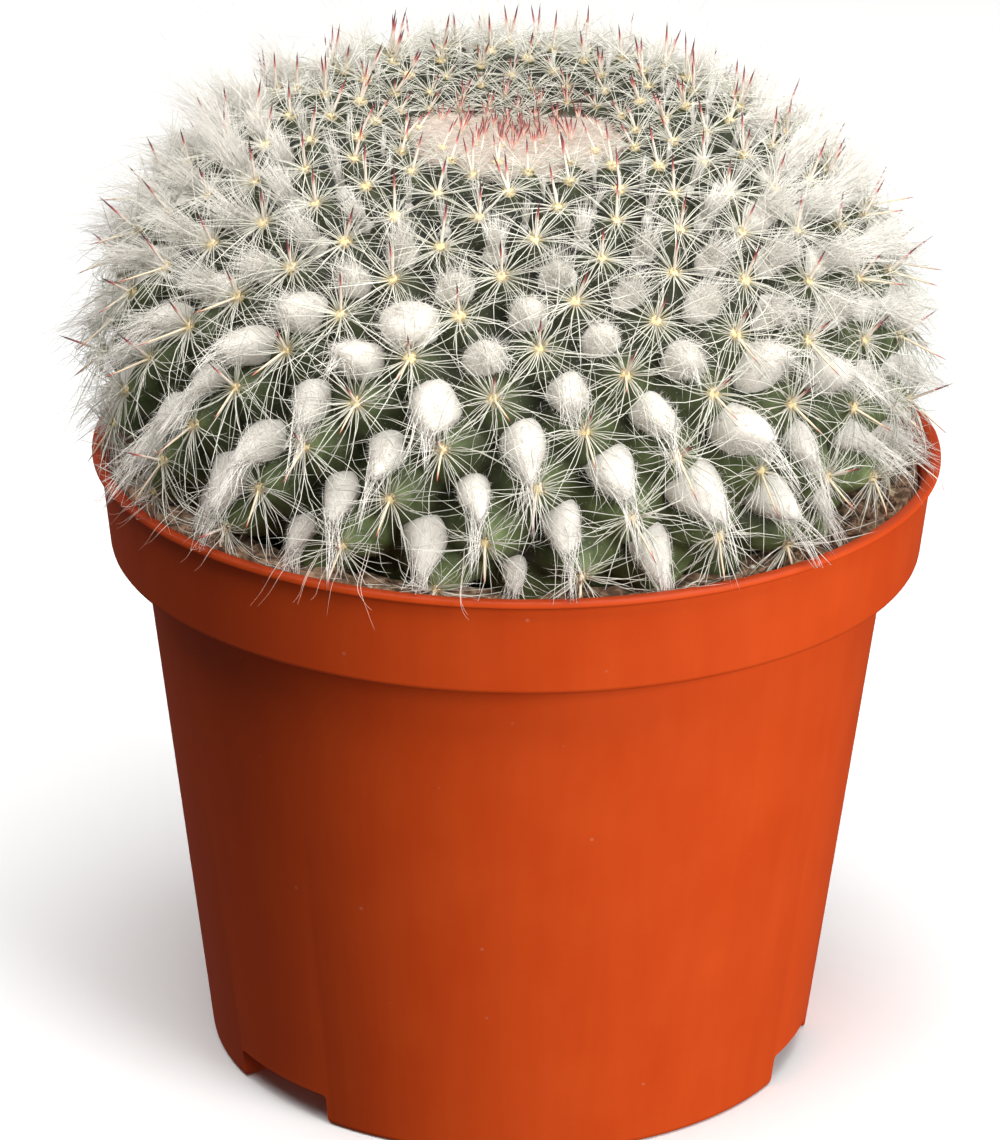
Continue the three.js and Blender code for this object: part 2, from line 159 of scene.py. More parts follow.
def square_to(vectors, axis):
    """What is left of vectors without their part along an axis."""
    return vectors - np.sum(vectors * axis, -1, keepdims=True) * axis


def off_axis(points):
    """How far points are from the vertical axis."""
    return np.linalg.norm(points[..., :2], axis=-1)


def around(angle, radius, z):
    """Points at an angle from the front, counted towards +X, around a vertical axis."""
    angle, radius, z = np.broadcast_arrays(angle, radius, z)
    return np.stack([radius * np.sin(angle), -radius * np.cos(angle), z], -1)


def angle_of(points):
    """The angles of points, from the front towards +X."""
    return np.arctan2(points[:, 0], -points[:, 1])


def smooth_step(low, high, value):
    share = np.clip((value - low) / (high - low), 0, 1)
    return share * share * (3 - 2 * share)


def select_only(*pieces):
    """Leaves any editing, and selects nothing but these pieces."""
    if bpy.context.object and bpy.context.object.mode != "OBJECT":
        bpy.ops.object.mode_set(mode="OBJECT")
    bpy.ops.object.select_all(action="DESELECT")
    for piece in pieces:
        piece.select_set(True)
        bpy.context.view_layer.objects.active = piece


def add(operator, name, **settings):
    """The object that one of Blender's operators adds, under its own name."""
    select_only()
    operator(**settings)
    piece = bpy.context.object
    piece.name = name
    piece.data.name = name
    return piece


def ball_of(name, segments, rings):
    """A ball with a radius of 1 mm."""
    return add(bpy.ops.mesh.primitive_uv_sphere_add, name, segments=segments, ring_count=rings, radius=MM)


def piece_of(name, mesh):
    piece = bpy.data.objects.new(name, mesh)
    bpy.context.scene.collection.objects.link(piece)
    return piece


def end_editing():
    """Turns the faces of the piece that is being edited outwards, and leaves the editing."""
    bpy.ops.mesh.select_all(action="SELECT")
    bpy.ops.mesh.normals_make_consistent(inside=False)
    bpy.ops.object.mode_set(mode="OBJECT")


def own_place(piece):
    """Puts a piece's place into its mesh, so that its object sits at the origin."""
    piece.data.transform(piece.matrix_world)
    piece.matrix_world.identity()
    return piece


def points_of(mesh):
    points = np.empty(len(mesh.vertices) * 3)
    mesh.vertices.foreach_get("co", points)
    return points.reshape(-1, 3) / MM


def set_points(mesh, points):
    mesh.vertices.foreach_set("co", (points * MM).ravel())
    mesh.update()


# The pieces that the light through the wool helps.
helped_pieces = bpy.data.collections.new("helped_pieces")


def dress(piece, slot, material, *nodes):
    """Gives a finished piece its material and its body, adds wool and soil pieces to those that the light
    through the wool helps, and hides the solids that it stands for.
    """
    if slot in ("spines_and_wool", "potting_soil"):
        helped_pieces.objects.link(piece)
    piece.data.materials.clear()
    piece.data.materials.append(material)
    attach(piece, "root")
    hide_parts(*nodes)


# -------- materials


def linear(colour):
    """An sRGB hex colour as linear red, green, blue and alpha."""
    values = [int(colour[i : i + 2], 16) / 255 for i in (1, 3, 5)]
    return (*(v / 12.92 if v <= 0.04045 else ((v + 0.055) / 1.055) ** 2.4 for v in values), 1)


def node(tree, kind, inputs=(), **settings):
    """Adds a node. Its inputs are values or other nodes' sockets."""
    made = tree.nodes.new(kind)
    for name, value in settings.items():
        setattr(made, name, value)
    for key, value in dict(inputs).items():
        if isinstance(value, bpy.types.NodeSocket):
            tree.links.new(value, made.inputs[key])
        else:
            made.inputs[key].default_value = value
    return made


def new_material(name, **values):
    """A material with its shader's constant values set on the shader's own sockets."""
    material = bpy.data.materials.new(name)
    material.use_nodes = True
    shader = material.node_tree.nodes["Principled BSDF"]
    for key, value in values.items():
        shader.inputs[key.replace("_", " ")].default_value = value
    return material, material.node_tree, shader


def object_place(tree):
    return node(tree, "ShaderNodeTexCoord").outputs["Object"]


def clouds(tree, place, size, detail):
    """A soft noise whose patches have a size in metres."""
    sockets = {"Vector": place, "Scale": 1 / size, "Detail": detail}
    return node(tree, "ShaderNodeTexNoise", sockets).outputs["Fac"]


def cells(tree, place, size):
    """How far the nearest of many points is, as a share of the size, in metres, that they stand apart."""
    return node(tree, "ShaderNodeTexVoronoi", {"Vector": place, "Scale": 1 / size}).outputs["Distance"]


def mixed(tree, kind, share, first, second):
    """Two values, for FLOAT, or two colours, for RGBA, mixed by the share of the second."""
    sockets = {"Factor": share, "A": first, "B": second}
    return node(tree, "ShaderNodeMix", sockets, data_type=kind).outputs["Result"]


def ranged(tree, value, before, after):
    """A value brought from one range to another and kept within it."""
    sockets = dict(zip(("From Min", "From Max", "To Min", "To Max"), (*before, *after)))
    return node(tree, "ShaderNodeMapRange", {"Value": value, **sockets}).outputs[0]


def ramp(tree, value, *stops):
    """The colour that belongs to a value, between stops that are each a place and a colour."""
    made = node(tree, "ShaderNodeValToRGB", {"Fac": value})
    elements = made.color_ramp.elements
    for i, (place, colour) in enumerate((stops[0], stops[-1], *stops[1:-1])):
        stop = elements[i] if i < 2 else elements.new(place)
        stop.position = place
        stop.color = linear(colour)
    return made.outputs[0]


def surface(tree, shader, colour, height, strength, depth):
    """Gives a shader its colour and a fine relief, with a depth in metres."""
    relief = node(tree, "ShaderNodeBump", {"Strength": strength, "Distance": depth, "Height": height})
    tree.links.new(colour, shader.inputs["Base Color"])
    tree.links.new(relief.outputs[0], shader.inputs["Normal"])


def moulded_polypropylene():
    """Polypropylene from a polished mould: an even satin skin, faint flow streaks down the wall, dust, and
    painted shade on the upper face of the lip.
    """
    material, tree, shader = new_material("moulded polypropylene", IOR=1.49, Specular_IOR_Level=0.35)
    place = object_place(tree)
    mottle = clouds(tree, place, 0.012, 4)
    drawn_out = node(tree, "ShaderNodeMapping", {"Vector": place, "Scale": (1, 1, 0.06)}).outputs[0]
    streaks = clouds(tree, drawn_out, 0.003, 3)
    body = ramp(tree, mixed(tree, "FLOAT", 0.45, mottle, streaks), (0.3, "#df4a0c"), (0.7, "#e85311"))
    # Dust and scuffs are about 0.3 mm across and 7 mm apart.
    speck = ranged(tree, cells(tree, place, 0.007), (0.02, 0.05), (0.35, 0))
    dusty = mixed(tree, "RGBA", speck, body, linear("#e9a384"))
    # Painted shade darkens the upper face of the lip.
    height = node(tree, "ShaderNodeSeparateXYZ", {"Vector": place}).outputs["Z"]
    top = POT_HEIGHT * MM
    on_lip = ranged(tree, height, (top - 0.0005, top - 0.0001), (0, 0.62))
    painted_lip_shade = mixed(tree, "RGBA", on_lip, dusty, linear("#8e2d0c"))
    tree.links.new(ranged(tree, mottle, (0.3, 0.7), (0.55, 0.66)), shader.inputs["Roughness"])
    relief = mixed(tree, "FLOAT", 0.5, clouds(tree, place, 0.0006, 2), streaks)
    surface(tree, shader, painted_lip_shade, relief, 0.12, 0.0002)
    return material


def damp_peat():
    """Peat and composted bark, damp below and dry on top: dark crumbs with brown fibres."""
    material, tree, shader = new_material("damp peat", Roughness=0.95)
    place = object_place(tree)
    shade = mixed(tree, "FLOAT", 0.5, cells(tree, place, 0.0016), clouds(tree, place, 0.0009, 5))
    colour = ramp(tree, shade, (0.25, "#3a2b20"), (0.45, "#7a5f4a"), (0.7, "#c0a083"))
    surface(tree, shader, colour, shade, 0.9, 0.0008)
    return material


def speckled(name, dark, light, grain, **values):
    """A rough natural finish between two colours, with a grain in metres."""
    material, tree, shader = new_material(name, **values)
    spots = clouds(tree, object_place(tree), grain, 4)
    surface(tree, shader, ramp(tree, spots, (0.35, dark), (0.65, light)), spots, 0.6, grain / 4)
    return material


def succulent_skin():
    """The waxy skin of a cactus: grey-green, with painted shade that darkens it down into the axils, fresher
    low down, felted on the crown.
    """
    material, tree, shader = new_material(
        "succulent skin",
        Roughness=0.6,
        Specular_IOR_Level=0.3,
        Subsurface_Weight=0.15,
        Subsurface_Scale=0.002,
        Subsurface_Radius=(0.8, 1, 0.35),
    )
    place = object_place(tree)
    rise = node(tree, "ShaderNodeAttribute", attribute_name="rise").outputs["Fac"]
    young = node(tree, "ShaderNodeAttribute", attribute_name="young").outputs["Fac"]
    # Both ramps paint shade: from each tubercle's tip, rise 1, the skin darkens to nearly black in its axil,
    # rise 0.
    dusty = ramp(tree, rise, (0, "#12120a"), (0.35, "#232516"), (0.75, "#3f442c"), (1, "#596040"))
    fresh = ramp(tree, rise, (0, "#33351a"), (0.35, "#565f35"), (0.75, "#788a56"), (1, "#a3b47a"))
    patches = clouds(tree, place, 0.009, 3)
    height = node(tree, "ShaderNodeSeparateXYZ", {"Vector": place}).outputs["Z"]
    low = ranged(tree, height, (0.126, 0.097), (0, 1.4))
    share = node(tree, "ShaderNodeMath", {0: low, 1: patches}, operation="MULTIPLY", use_clamp=True)
    skin = mixed(tree, "RGBA", share.outputs[0], dusty, fresh)
    shade = ranged(tree, clouds(tree, place, 0.0024, 3), (0.3, 0.7), (0.6, 1.2))
    mottled = node(tree, "ShaderNodeHueSaturation", {"Color": skin, "Value": shade}).outputs[0]
    # The dots are 0.1 mm on the plant, drawn about 0.2 mm wide and 0.7 mm apart so that they show.
    dot = ranged(tree, cells(tree, place, 0.0007), (0.12, 0.2), (0.22, 0))
    dotted = mixed(tree, "RGBA", dot, mottled, linear("#b9c4ac"))
    felted = mixed(tree, "RGBA", young, dotted, linear("#d3c0b4"))
    surface(tree, shader, felted, patches, 0.3, 0.0004)
    return material


HAIR_MAP = "OFBake"  # a strand's map: its own column across, and its length up
HAIR_COLUMNS = 64


def strand_finish(name, stops, uneven, **values):
    """A fine tapering strand, coloured along its length, some a little darker than others."""
    material, tree, shader = new_material(name, **values)
    strand = node(tree, "ShaderNodeUVMap", uv_map=HAIR_MAP).outputs[0]
    across, up, _ = node(tree, "ShaderNodeSeparateXYZ", {"Vector": strand}).outputs
    column = node(tree, "ShaderNodeMath", {0: across, 1: 1 / HAIR_COLUMNS}, operation="SNAP").outputs[0]
    chance = node(tree, "ShaderNodeTexWhiteNoise", {"W": column}, noise_dimensions="1D").outputs["Value"]
    shifted = ranged(tree, chance, (0, 1), (-0.06, 0.06))
    length = node(tree, "ShaderNodeMath", {0: up, 1: shifted}, operation="ADD").outputs[0]
    along = ramp(tree, length, *stops)
    value = ranged(tree, chance, (0, 1), (1 - uneven, 1))
    colour = node(tree, "ShaderNodeHueSaturation", {"Color": along, "Value": value})
    tree.links.new(colour.outputs[0], shader.inputs["Base Color"])
    return material


# -------- the stage


def place_camera():
    """The camera stands where the photograph was taken from."""
    back = Vector((0, -math.cos(CAMERA_ELEVATION), math.sin(CAMERA_ELEVATION)))
    place = (Vector(CAMERA_TARGET) + back * CAMERA_DISTANCE) * MM
    camera = add(bpy.ops.object.camera_add, "camera", location=place)
    camera.rotation_mode = "QUATERNION"
    camera.rotation_quaternion = (-back).to_track_quat("-Z", "Y") @ Quaternion((0, 0, 1), CAMERA_ROLL)
    camera.data.sensor_fit = "HORIZONTAL"
    camera.data.sensor_width = SENSOR
    camera.data.lens = SENSOR * FOCAL_PIXELS / IMAGE_WIDTH
    camera.data.shift_x = (IMAGE_WIDTH / 2 - CENTRE_PIXEL) / IMAGE_WIDTH
    bpy.context.scene.camera = camera


def softbox(name, angle, elevation, distance, size, watts):
    """A square soft light, aimed at the plant: degrees from the front and over the floor, then metres."""
    aim = np.array((0, 0, 90)) * MM
    away = around(angle * DEG, math.cos(elevation * DEG), math.sin(elevation * DEG))
    light = add(bpy.ops.object.light_add, name, type="AREA", location=aim + away * distance)
    light.rotation_mode = "QUATERNION"
    light.rotation_quaternion = Vector(-away).to_track_quat("-Z", "Y")
    light.data.size = size
    light.data.energy = watts
    return light


def build_stage():
    scene = bpy.context.scene
    scene.view_settings.view_transform = "Standard"
    scene.world = bpy.data.worlds.new("studio")
    scene.world.use_nodes = True
    background = scene.world.node_tree.nodes["Background"]
    background.inputs["Color"].default_value = linear("#ffffff")
    background.inputs["Strength"].default_value = 0.08
    softbox("overhead", 0, 79, 1.3, 1.2, 26)
    softbox("key", 46, 16, 1.2, 0.6, 13.5)
    # Light goes on through white wool from strand to strand, and down to the soil; this stands for it.
    through_wool = softbox("through_wool", -8, 32, 1.5, 1.2, 10.6)
    through_wool.data.color = linear("#fffaf6")[:3]
    through_wool.light_linking.receiver_collection = helped_pieces
    softbox("edge", -130, 30, 1.2, 0.6, 2)
    floor = add(bpy.ops.mesh.primitive_plane_add, "floor", size=6)
    floor.visible_diffuse = False
    floor.visible_glossy = False
    floor.data.materials.append(new_material("pale paper", Base_Color=linear("#fafaf9"), Roughness=0.9)[0])


# -------- the pot


def body_radius(z):
    """Outside of the pot's wall below the step."""
    return BASE_RADIUS + (STEP_RADIUS - BASE_RADIUS) * z / STEP_Z


def band_radius(z):
    return BAND_LOW_RADIUS + (BAND_TOP_RADIUS - BAND_LOW_RADIUS) * (z - STEP_Z) / BAND_HEIGHT


def rounded(corner, before, after, radius, steps=4):
    """Points of an arc-like rounding of one corner of a profile."""
    corner, before, after = (np.array(p, float) for p in (corner, before, after))
    start = corner + unit(before - corner) * radius
    end = corner + unit(after - corner) * radius
    shares = np.linspace(0, 1, steps + 1)[:, None]
    made = (1 - shares) ** 2 * start + 2 * shares * (1 - shares) * corner + shares**2 * end
    return [tuple(point) for point in made]


def rounded_profile(points):
    """A profile of (radius, z, rounding) corners as (radius, z) points."""
    made = []
    for i, (radius, z, rounding) in enumerate(points):
        if rounding:
            made += rounded((radius, z), points[i - 1][:2], points[i + 1][:2], rounding)
        else:
            made.append((radius, z))
    return made


def turned(name, profile, steps):
    """A piece spun about Z from a profile of (radius, z) points, from the axis round to the axis again."""
    piece = add(bpy.ops.mesh.primitive_plane_add, name, size=MM)
    bpy.ops.object.mode_set(mode="EDIT")
    bpy.ops.mesh.merge(type="CENTER")
    radius, z = profile[0]
    bpy.ops.transform.translate(value=(radius * MM, 0, z * MM))
    for (from_radius, from_z), (to_radius, to_z) in zip(profile, profile[1:]):
        step = ((to_radius - from_radius) * MM, 0, (to_z - from_z) * MM)
        bpy.ops.mesh.extrude_region_move(TRANSFORM_OT_translate={"value": step})
    bpy.ops.mesh.select_all(action="SELECT")
    bpy.ops.mesh.spin(steps=steps, angle=TURN, center=(0, 0, 0), axis=(0, 0, 1))
    bpy.ops.mesh.select_all(action="SELECT")
    bpy.ops.mesh.remove_doubles(threshold=0.001 * MM)
    end_editing()
    return piece


def pot_profile():
    """The pot's section from the middle of its underside, up its outside and down its inside."""
    inner_band = band_radius(STEP_Z + WALL) - WALL
    corners = [
        (0, FOOT_HEIGHT, 0),
        (BASE_RADIUS - FOOT_WIDTH, FOOT_HEIGHT, 0.5),
        (BASE_RADIUS - FOOT_WIDTH, 0, 0.8),
        (BASE_RADIUS, 0, 0.9),
        (STEP_RADIUS, STEP_Z, 0.5),
        (BAND_LOW_RADIUS, STEP_Z, BAND_EDGE),
        (BAND_TOP_RADIUS, POT_HEIGHT - LIP_HEIGHT - 0.3, 0.25),
        (RIM_RADIUS, POT_HEIGHT - LIP_HEIGHT - 0.1, LIP_ROUNDING),
        (RIM_RADIUS, POT_HEIGHT, 0.45),
        (RIM_RADIUS - LIP_WIDTH, POT_HEIGHT, 0.5),
        (band_radius(POT_HEIGHT - 2.5) - WALL, POT_HEIGHT - 2.5, 0.6),
        (inner_band, STEP_Z + WALL, 0.8),
        (STEP_RADIUS - WALL, STEP_Z + WALL, 0.5),
        (body_radius(FLOOR_TOP) - WALL, FLOOR_TOP, 1),
        (0, FLOOR_TOP, 0),
    ]
    return rounded_profile(corners)


def subtract(piece, cutter):
    """Cuts one piece with another, which is used up."""
    cut = piece.modifiers.new("cut", "BOOLEAN")
    cut.object = cutter
    cut.operation = "DIFFERENCE"
    cut.solver = "EXACT"
    select_only(piece)
    bpy.ops.object.modifier_apply(modifier="cut")
    bpy.data.objects.remove(cutter)


def notch_cutter(angle):
    """A gap between two feet: its mouth flares, which rounds the corners of the feet."""
    mouth = BASE_RADIUS + 4
    half = mouth * math.sin(NOTCH_ANGLE / 2)
    quarter = np.linspace(0, math.pi / 2, 6)
    flare = zip(FOOT_ROUNDING * (1 - np.sin(quarter)), FOOT_ROUNDING * (1 - np.cos(quarter)))
    roof = NOTCH_ROUNDING * np.sin(np.linspace(0, math.pi / 2, 5))
    inner, top = half - NOTCH_ROUNDING, FOOT_HEIGHT - NOTCH_ROUNDING
    side = [(half + FOOT_ROUNDING, -1.0)]
    side += [(half + out, height) for out, height in flare]
    side += [(inner + math.sqrt(max(NOTCH_ROUNDING**2 - r * r, 0)), top + r) for r in roof]
    outline = side + [(-x, z) for x, z in reversed(side)]
    mesh = bpy.data.meshes.new("notch")
    mesh.from_pydata([(x * MM, -mouth * MM, z * MM) for x, z in outline], [], [range(len(outline))])
    cutter = piece_of("notch", mesh)
    select_only(cutter)
    depth = FOOT_WIDTH + 7
    bpy.ops.object.mode_set(mode="EDIT")
    bpy.ops.mesh.select_all(action="SELECT")
    bpy.ops.mesh.extrude_region_move(TRANSFORM_OT_translate={"value": (0, depth * MM, 0)})
    narrowing = 1 - depth / mouth
    bpy.ops.transform.resize(value=(narrowing, 1, 1), center_override=(0, 0, 0))
    end_editing()
    set_points(mesh, turned_points(points_of(mesh), angle))
    return cutter


def turned_points(points, angle):
    """Points turned about Z, as angles from the front are counted."""
    x, y, z = points.T
    return np.stack([x * np.cos(angle) - y * np.sin(angle), x * np.sin(angle) + y * np.cos(angle), z], -1)


def build_pot():
    """The pot, turned, with its notches and its drain holes cut out."""
    pot = turned("pot_body", pot_profile(), POT_STEPS)
    for i in range(NOTCHES):
        subtract(pot, notch_cutter(FIRST_NOTCH + i * TURN / NOTCHES))
    for i in range(DRAIN_HOLES):
        place = around(i * TURN / DRAIN_HOLES, DRAIN_CIRCLE, FOOT_HEIGHT) * MM
        sizes = {"vertices": 32, "radius": DRAIN_RADIUS * MM, "depth": 2 * FOOT_HEIGHT * MM}
        drain = add(bpy.ops.mesh.primitive_cylinder_add, "drain", location=place, **sizes)
        subtract(pot, own_place(drain))
    select_only(pot)
    bpy.ops.object.shade_smooth_by_angle(angle=32 * DEG)
    dress(pot, "pot_plastic", moulded_polypropylene(), "pot")


# -------- the plant's curve

CURVE_STEPS = 1200


def body_curve(share):
    """(radius, z) from the middle of the crown, 0, over the equator, 0.5, to that of the underside, 1."""
    rise = np.cos(share * math.pi)
    radius = EQUATOR_RADIUS * np.sin(share * math.pi)
    dip = DIP_DEPTH * np.exp(-((radius / DIP_RADIUS) ** 2))
    upper = CROWN_HEIGHT * np.maximum(rise, 0) ** CROWN_FULLNESS
    return np.stack([radius, EQUATOR_Z + upper + UNDERSIDE_DEPTH * np.minimum(rise, 0) - dip], -1)


curve = body_curve(np.linspace(0, 1, CURVE_STEPS + 1))
along = np.concatenate([[0], np.cumsum(np.linalg.norm(np.diff(curve, axis=0), axis=1))])
CURVE_LENGTH = along[-1]
slope = unit(np.gradient(curve, axis=0))


def turning(axis, angle):
    return np.array(Quaternion(axis, angle).to_matrix())


STAND = turning((0, 1, 0), LEAN_RIGHT) @ turning((1, 0, 0), LEAN_FORWARD)


def stood(points):
    """Points of the upright plant, leaning and off the middle as it stands in its pot."""
    return (points - PIVOT) @ STAND.T + PIVOT + SHIFT


def upright(points):
    """The way back: points of the pot in the upright plant's own place."""
    return (points - SHIFT - PIVOT) @ STAND + PIVOT


def on_plant(angle, distance, lift=0):
    """Points of the plant's surface, lifted off it, with the directions outwards and up to the crown."""
    angle, distance, lift = np.broadcast_arrays(angle, distance, lift)
    radius = np.interp(distance, along, curve[:, 0])
    z = np.interp(distance, along, curve[:, 1])
    run = np.interp(distance, along, slope[:, 0])
    fall = np.interp(distance, along, slope[:, 1])
    place = stood(around(angle, radius - lift * fall, z + lift * run))
    out = unit(around(angle, -fall, run)) @ STAND.T
    up = unit(around(angle, -run, -fall)) @ STAND.T
    return place, out, up


def tubercle_distance(n):
    return ROW_START + ROW_STEP * n + ROW_SPREAD * n**4.0


def tubercle_spacing(n):
    """Side of the square that one tubercle takes up."""
    row_height = ROW_STEP + 4 * ROW_SPREAD * n**3.0
    radius = np.interp(tubercle_distance(n), along, curve[:, 0])
    return np.sqrt(TURN * radius * row_height)


def wool_edge(angle):
    """How far the crown's wool reaches from its middle."""
    return CROWN_WOOL_RADIUS + CROWN_WOOL_SHIFT * np.cos(angle) + CROWN_WOOL_SIDES * np.sin(angle) ** 2


class Areoles:
    """The tips of the tubercles that stand clear of the soil: their numbers, places and directions."""

    def __init__(self):
        n = np.arange(LAST_TUBERCLE + 1)
        angle = FIRST_ANGLE + n * DIVERGENCE
        place, out, up = on_plant(angle, tubercle_distance(n))
        shown = place[:, 2] > SOIL_TOP + BURIED
        self.all_places = place
        self.all_out = out
        self.all_up = up
        self.n = n[shown]
        self.place = place[shown]
        self.out = out[shown]
        self.up = up[shown]
        self.side = np.cross(self.out, self.up)
        self.spacing = tubercle_spacing(self.n)
        behind = smooth_step(0.2, 0.9, -np.cos(angle[shown]))
        hidden = wool_edge(angle[shown]) - FELT_MARGIN - FELT_MARGIN_BEHIND * behind
        self.felted = tubercle_distance(self.n) < hidden


areoles = Areoles()


# -------- the plant's body

BODY_SEGMENTS = 360
BODY_RINGS = 200


def tubercle_lift(points, distance):
    """How far the surface lies below the tips' surface, and how high it is on its tubercle, from 0 to 1."""
    places = areoles.all_places
    spacing = np.maximum(tubercle_spacing(np.arange(len(places))), 1.5)
    nearest = np.full(len(points), np.inf)
    width = np.ones(len(points))
    for place, side in zip(places, spacing):
        share = np.linalg.norm(points - place, axis=1) / side
        closer = share < nearest
        nearest[closer] = share[closer]
        width[closer] = side
    cone = (np.sqrt(nearest**2 + 0.012) - 0.11) / 0.62
    rise = 1 - np.clip(cone, 0, 1.15)
    deepest = np.max(tubercle_distance(areoles.n)) + 4
    grown = 1 - smooth_step(deepest, deepest + 6, distance)
    lift = -TUBERCLE_DEPTH * width * ((1 - rise) * grown + (1 - grown))
    return lift, np.clip(rise, 0, 1)


def build_body():
    """A sphere whose points are moved to the plant's curve and sunk between the tips of the tubercles."""
    body = ball_of("cactus_body", BODY_SEGMENTS, BODY_RINGS)
    ball = points_of(body.data)
    angle = angle_of(ball)
    distance = np.arccos(np.clip(ball[:, 2], -1, 1)) / math.pi * CURVE_LENGTH
    lift, rise = tubercle_lift(on_plant(angle, distance)[0], distance)
    young = 1 - smooth_step(-1.5, 0.5, distance - wool_edge(angle))
    set_points(body.data, on_plant(angle, distance, lift)[0])
    for name, values in (("rise", rise), ("young", young)):
        layer = body.data.attributes.new(name, "FLOAT", "POINT")
        layer.data.foreach_set("value", values.astype(np.float32))
    bpy.ops.object.shade_smooth()
    dress(body, "cactus_skin", succulent_skin(), "cactus")


# -------- strands

# Widths of strands at the root and at the tip.
NAP_WIDTHS = (0.15, 0.05)
RADIAL_WIDTHS = (0.2, 0.05)
CENTRAL_WIDTHS = (0.46, 0.1)
HANGING_WIDTHS = (0.42, 0.1)
BUD_WIDTHS = (0.27, 0.08)
TUFT_HAIR_WIDTHS = (0.08, 0.04)
TUFT_FUZZ_WIDTHS = (0.055, 0)
LOCK_WIDTHS = (0.13, 0.05)
WISP_WIDTHS = (0.12, 0.05)
CROWN_HAIR_WIDTHS = (0.08, 0.03)


def strand_pattern(points, sides):
    """The faces of one strand, as its vertices' numbers and their places on its map."""
    rings = points - 1
    root = [(side, side / sides, 0.01 * (side % 2)) for side in reversed(range(sides))]
    faces = [root]
    for side in range(sides):
        after = (side + 1) % sides
        left, right = side / sides, (side + 1) / sides
        for ring in range(rings - 1):
            low, high = ring / rings, (ring + 1) / rings
            a, b = sides * ring + side, sides * ring + after
            faces.append([(a, left, low), (b, right, low), (b + sides, right, high), (a + sides, left, high)])
        a, b = sides * (rings - 1) + side, sides * (rings - 1) + after
        faces.append([(a, left, 1 - 1 / rings), (b, right, 1 - 1 / rings), (sides * rings, right, 1)])
    return faces


def strands(name, finish, paths, root, tip, taper=1, sides=3):
    """One piece of thin strands. Paths are (strand, point, xyz), and root and tip are widths."""
    count, points, _ = paths.shape
    rings = points - 1
    tangent = unit(np.gradient(paths, axis=1)[:, :rings] + 1e-9)
    chord = unit(paths[:, -1] - paths[:, 0] + 1e-9)
    turned_off = unit(np.cross(chord, unit(scattered(count))))[:, None]
    first = unit(square_to(turned_off, tangent))
    second = np.cross(tangent, first)
    shares = np.linspace(0, 1, points)[:rings] ** taper
    root, tip = (np.broadcast_to(np.asarray(w, float), count)[:, None] for w in (root, tip))
    width = root + (tip - root) * shares
    corners = np.arange(sides) * TURN / sides
    ring = np.cos(corners)[:, None] * first[:, :, None] + np.sin(corners)[:, None] * second[:, :, None]
    ring = paths[:, :rings, None] + ring * width[:, :, None, None] / 2
    vertices = np.concatenate([ring.reshape(count, -1, 3), paths[:, -1:]], axis=1)
    piece = strand_piece(name, vertices, strand_pattern(points, sides))
    dress(piece, "spines_and_wool", finish, "cactus")


def strand_piece(name, vertices, pattern):
    """Copies of one pattern of faces, each with its own vertices and its own column of the map."""
    count, each, _ = vertices.shape
    numbers, map_x, map_y = (np.array(v) for v in zip(*(corner for face in pattern for corner in face)))
    sizes = np.array([len(face) for face in pattern])
    mesh = bpy.data.meshes.new(name)
    mesh.vertices.add(count * each)
    mesh.loops.add(count * len(numbers))
    mesh.polygons.add(count * len(sizes))
    mesh.vertices.foreach_set("co", (vertices * MM).ravel())
    loops = numbers.astype(int)[None] + np.arange(count)[:, None] * each
    mesh.loops.foreach_set("vertex_index", loops.ravel())
    starts = np.concatenate([[0], np.cumsum(np.tile(sizes, count))[:-1]])
    mesh.polygons.foreach_set("loop_start", starts)
    mesh.polygons.foreach_set("loop_total", np.tile(sizes, count))
    column = rng.integers(0, HAIR_COLUMNS, count)[:, None]
    across = (column + 0.1 + 0.8 * map_x[None]) / HAIR_COLUMNS
    up = np.broadcast_to(map_y[None], across.shape)
    layer = mesh.uv_layers.new(name=HAIR_MAP)
    layer.data.foreach_set("uv", np.stack([across, up], -1).ravel())
    mesh.update(calc_edges=True)
    mesh.validate()
    mesh.shade_smooth()
    return piece_of(name, mesh)


def directions(out, up, side, angle, tilt):
    """Directions at an angle round an areole (0 is up to the crown) and tilted off the surface."""
    flat = np.cos(angle)[:, None] * up + np.sin(angle)[:, None] * side
    return np.cos(tilt)[:, None] * flat + np.sin(tilt)[:, None] * out


def column_of(values, count):
    return np.broadcast_to(np.asarray(values, float), count)[:, None, None]


def curl(direction, length, shares, wave):
    """A lazy sideways swing along strands, nothing at their roots."""
    count = len(direction)
    swing = unit(np.cross(direction, scattered(count)))[:, None]
    turn = choose(0, TURN, (count, 1, 1)) + choose(0.5, 1.2, (count, 1, 1)) * TURN * shares
    return column_of(wave, count) * length * (np.sin(turn) - np.sin(turn[:, :1])) * shares * swing


def grow(root, direction, length, points, bend=0, sink=None, fall=0, wave=0):
    """Paths of strands: bend turns them away from sink, fall lets them droop, and wave curls them."""
    count = len(root)
    shares = np.linspace(0, 1, points)[None, :, None]
    length = column_of(length, count)
    paths = root[:, None] + length * shares * direction[:, None]
    if sink is not None:
        paths = paths - column_of(bend, count) * length * shares**2 * sink[:, None]
    paths = paths - column_of(fall, count) * length * shares**2 * UPWARDS
    return paths + curl(direction, length, shares, wave)


RIM_INSIDE = RIM_RADIUS - LIP_WIDTH - 0.8  # strands that meet the wall from inside stop here
ON_RIM = POT_HEIGHT + 0.35


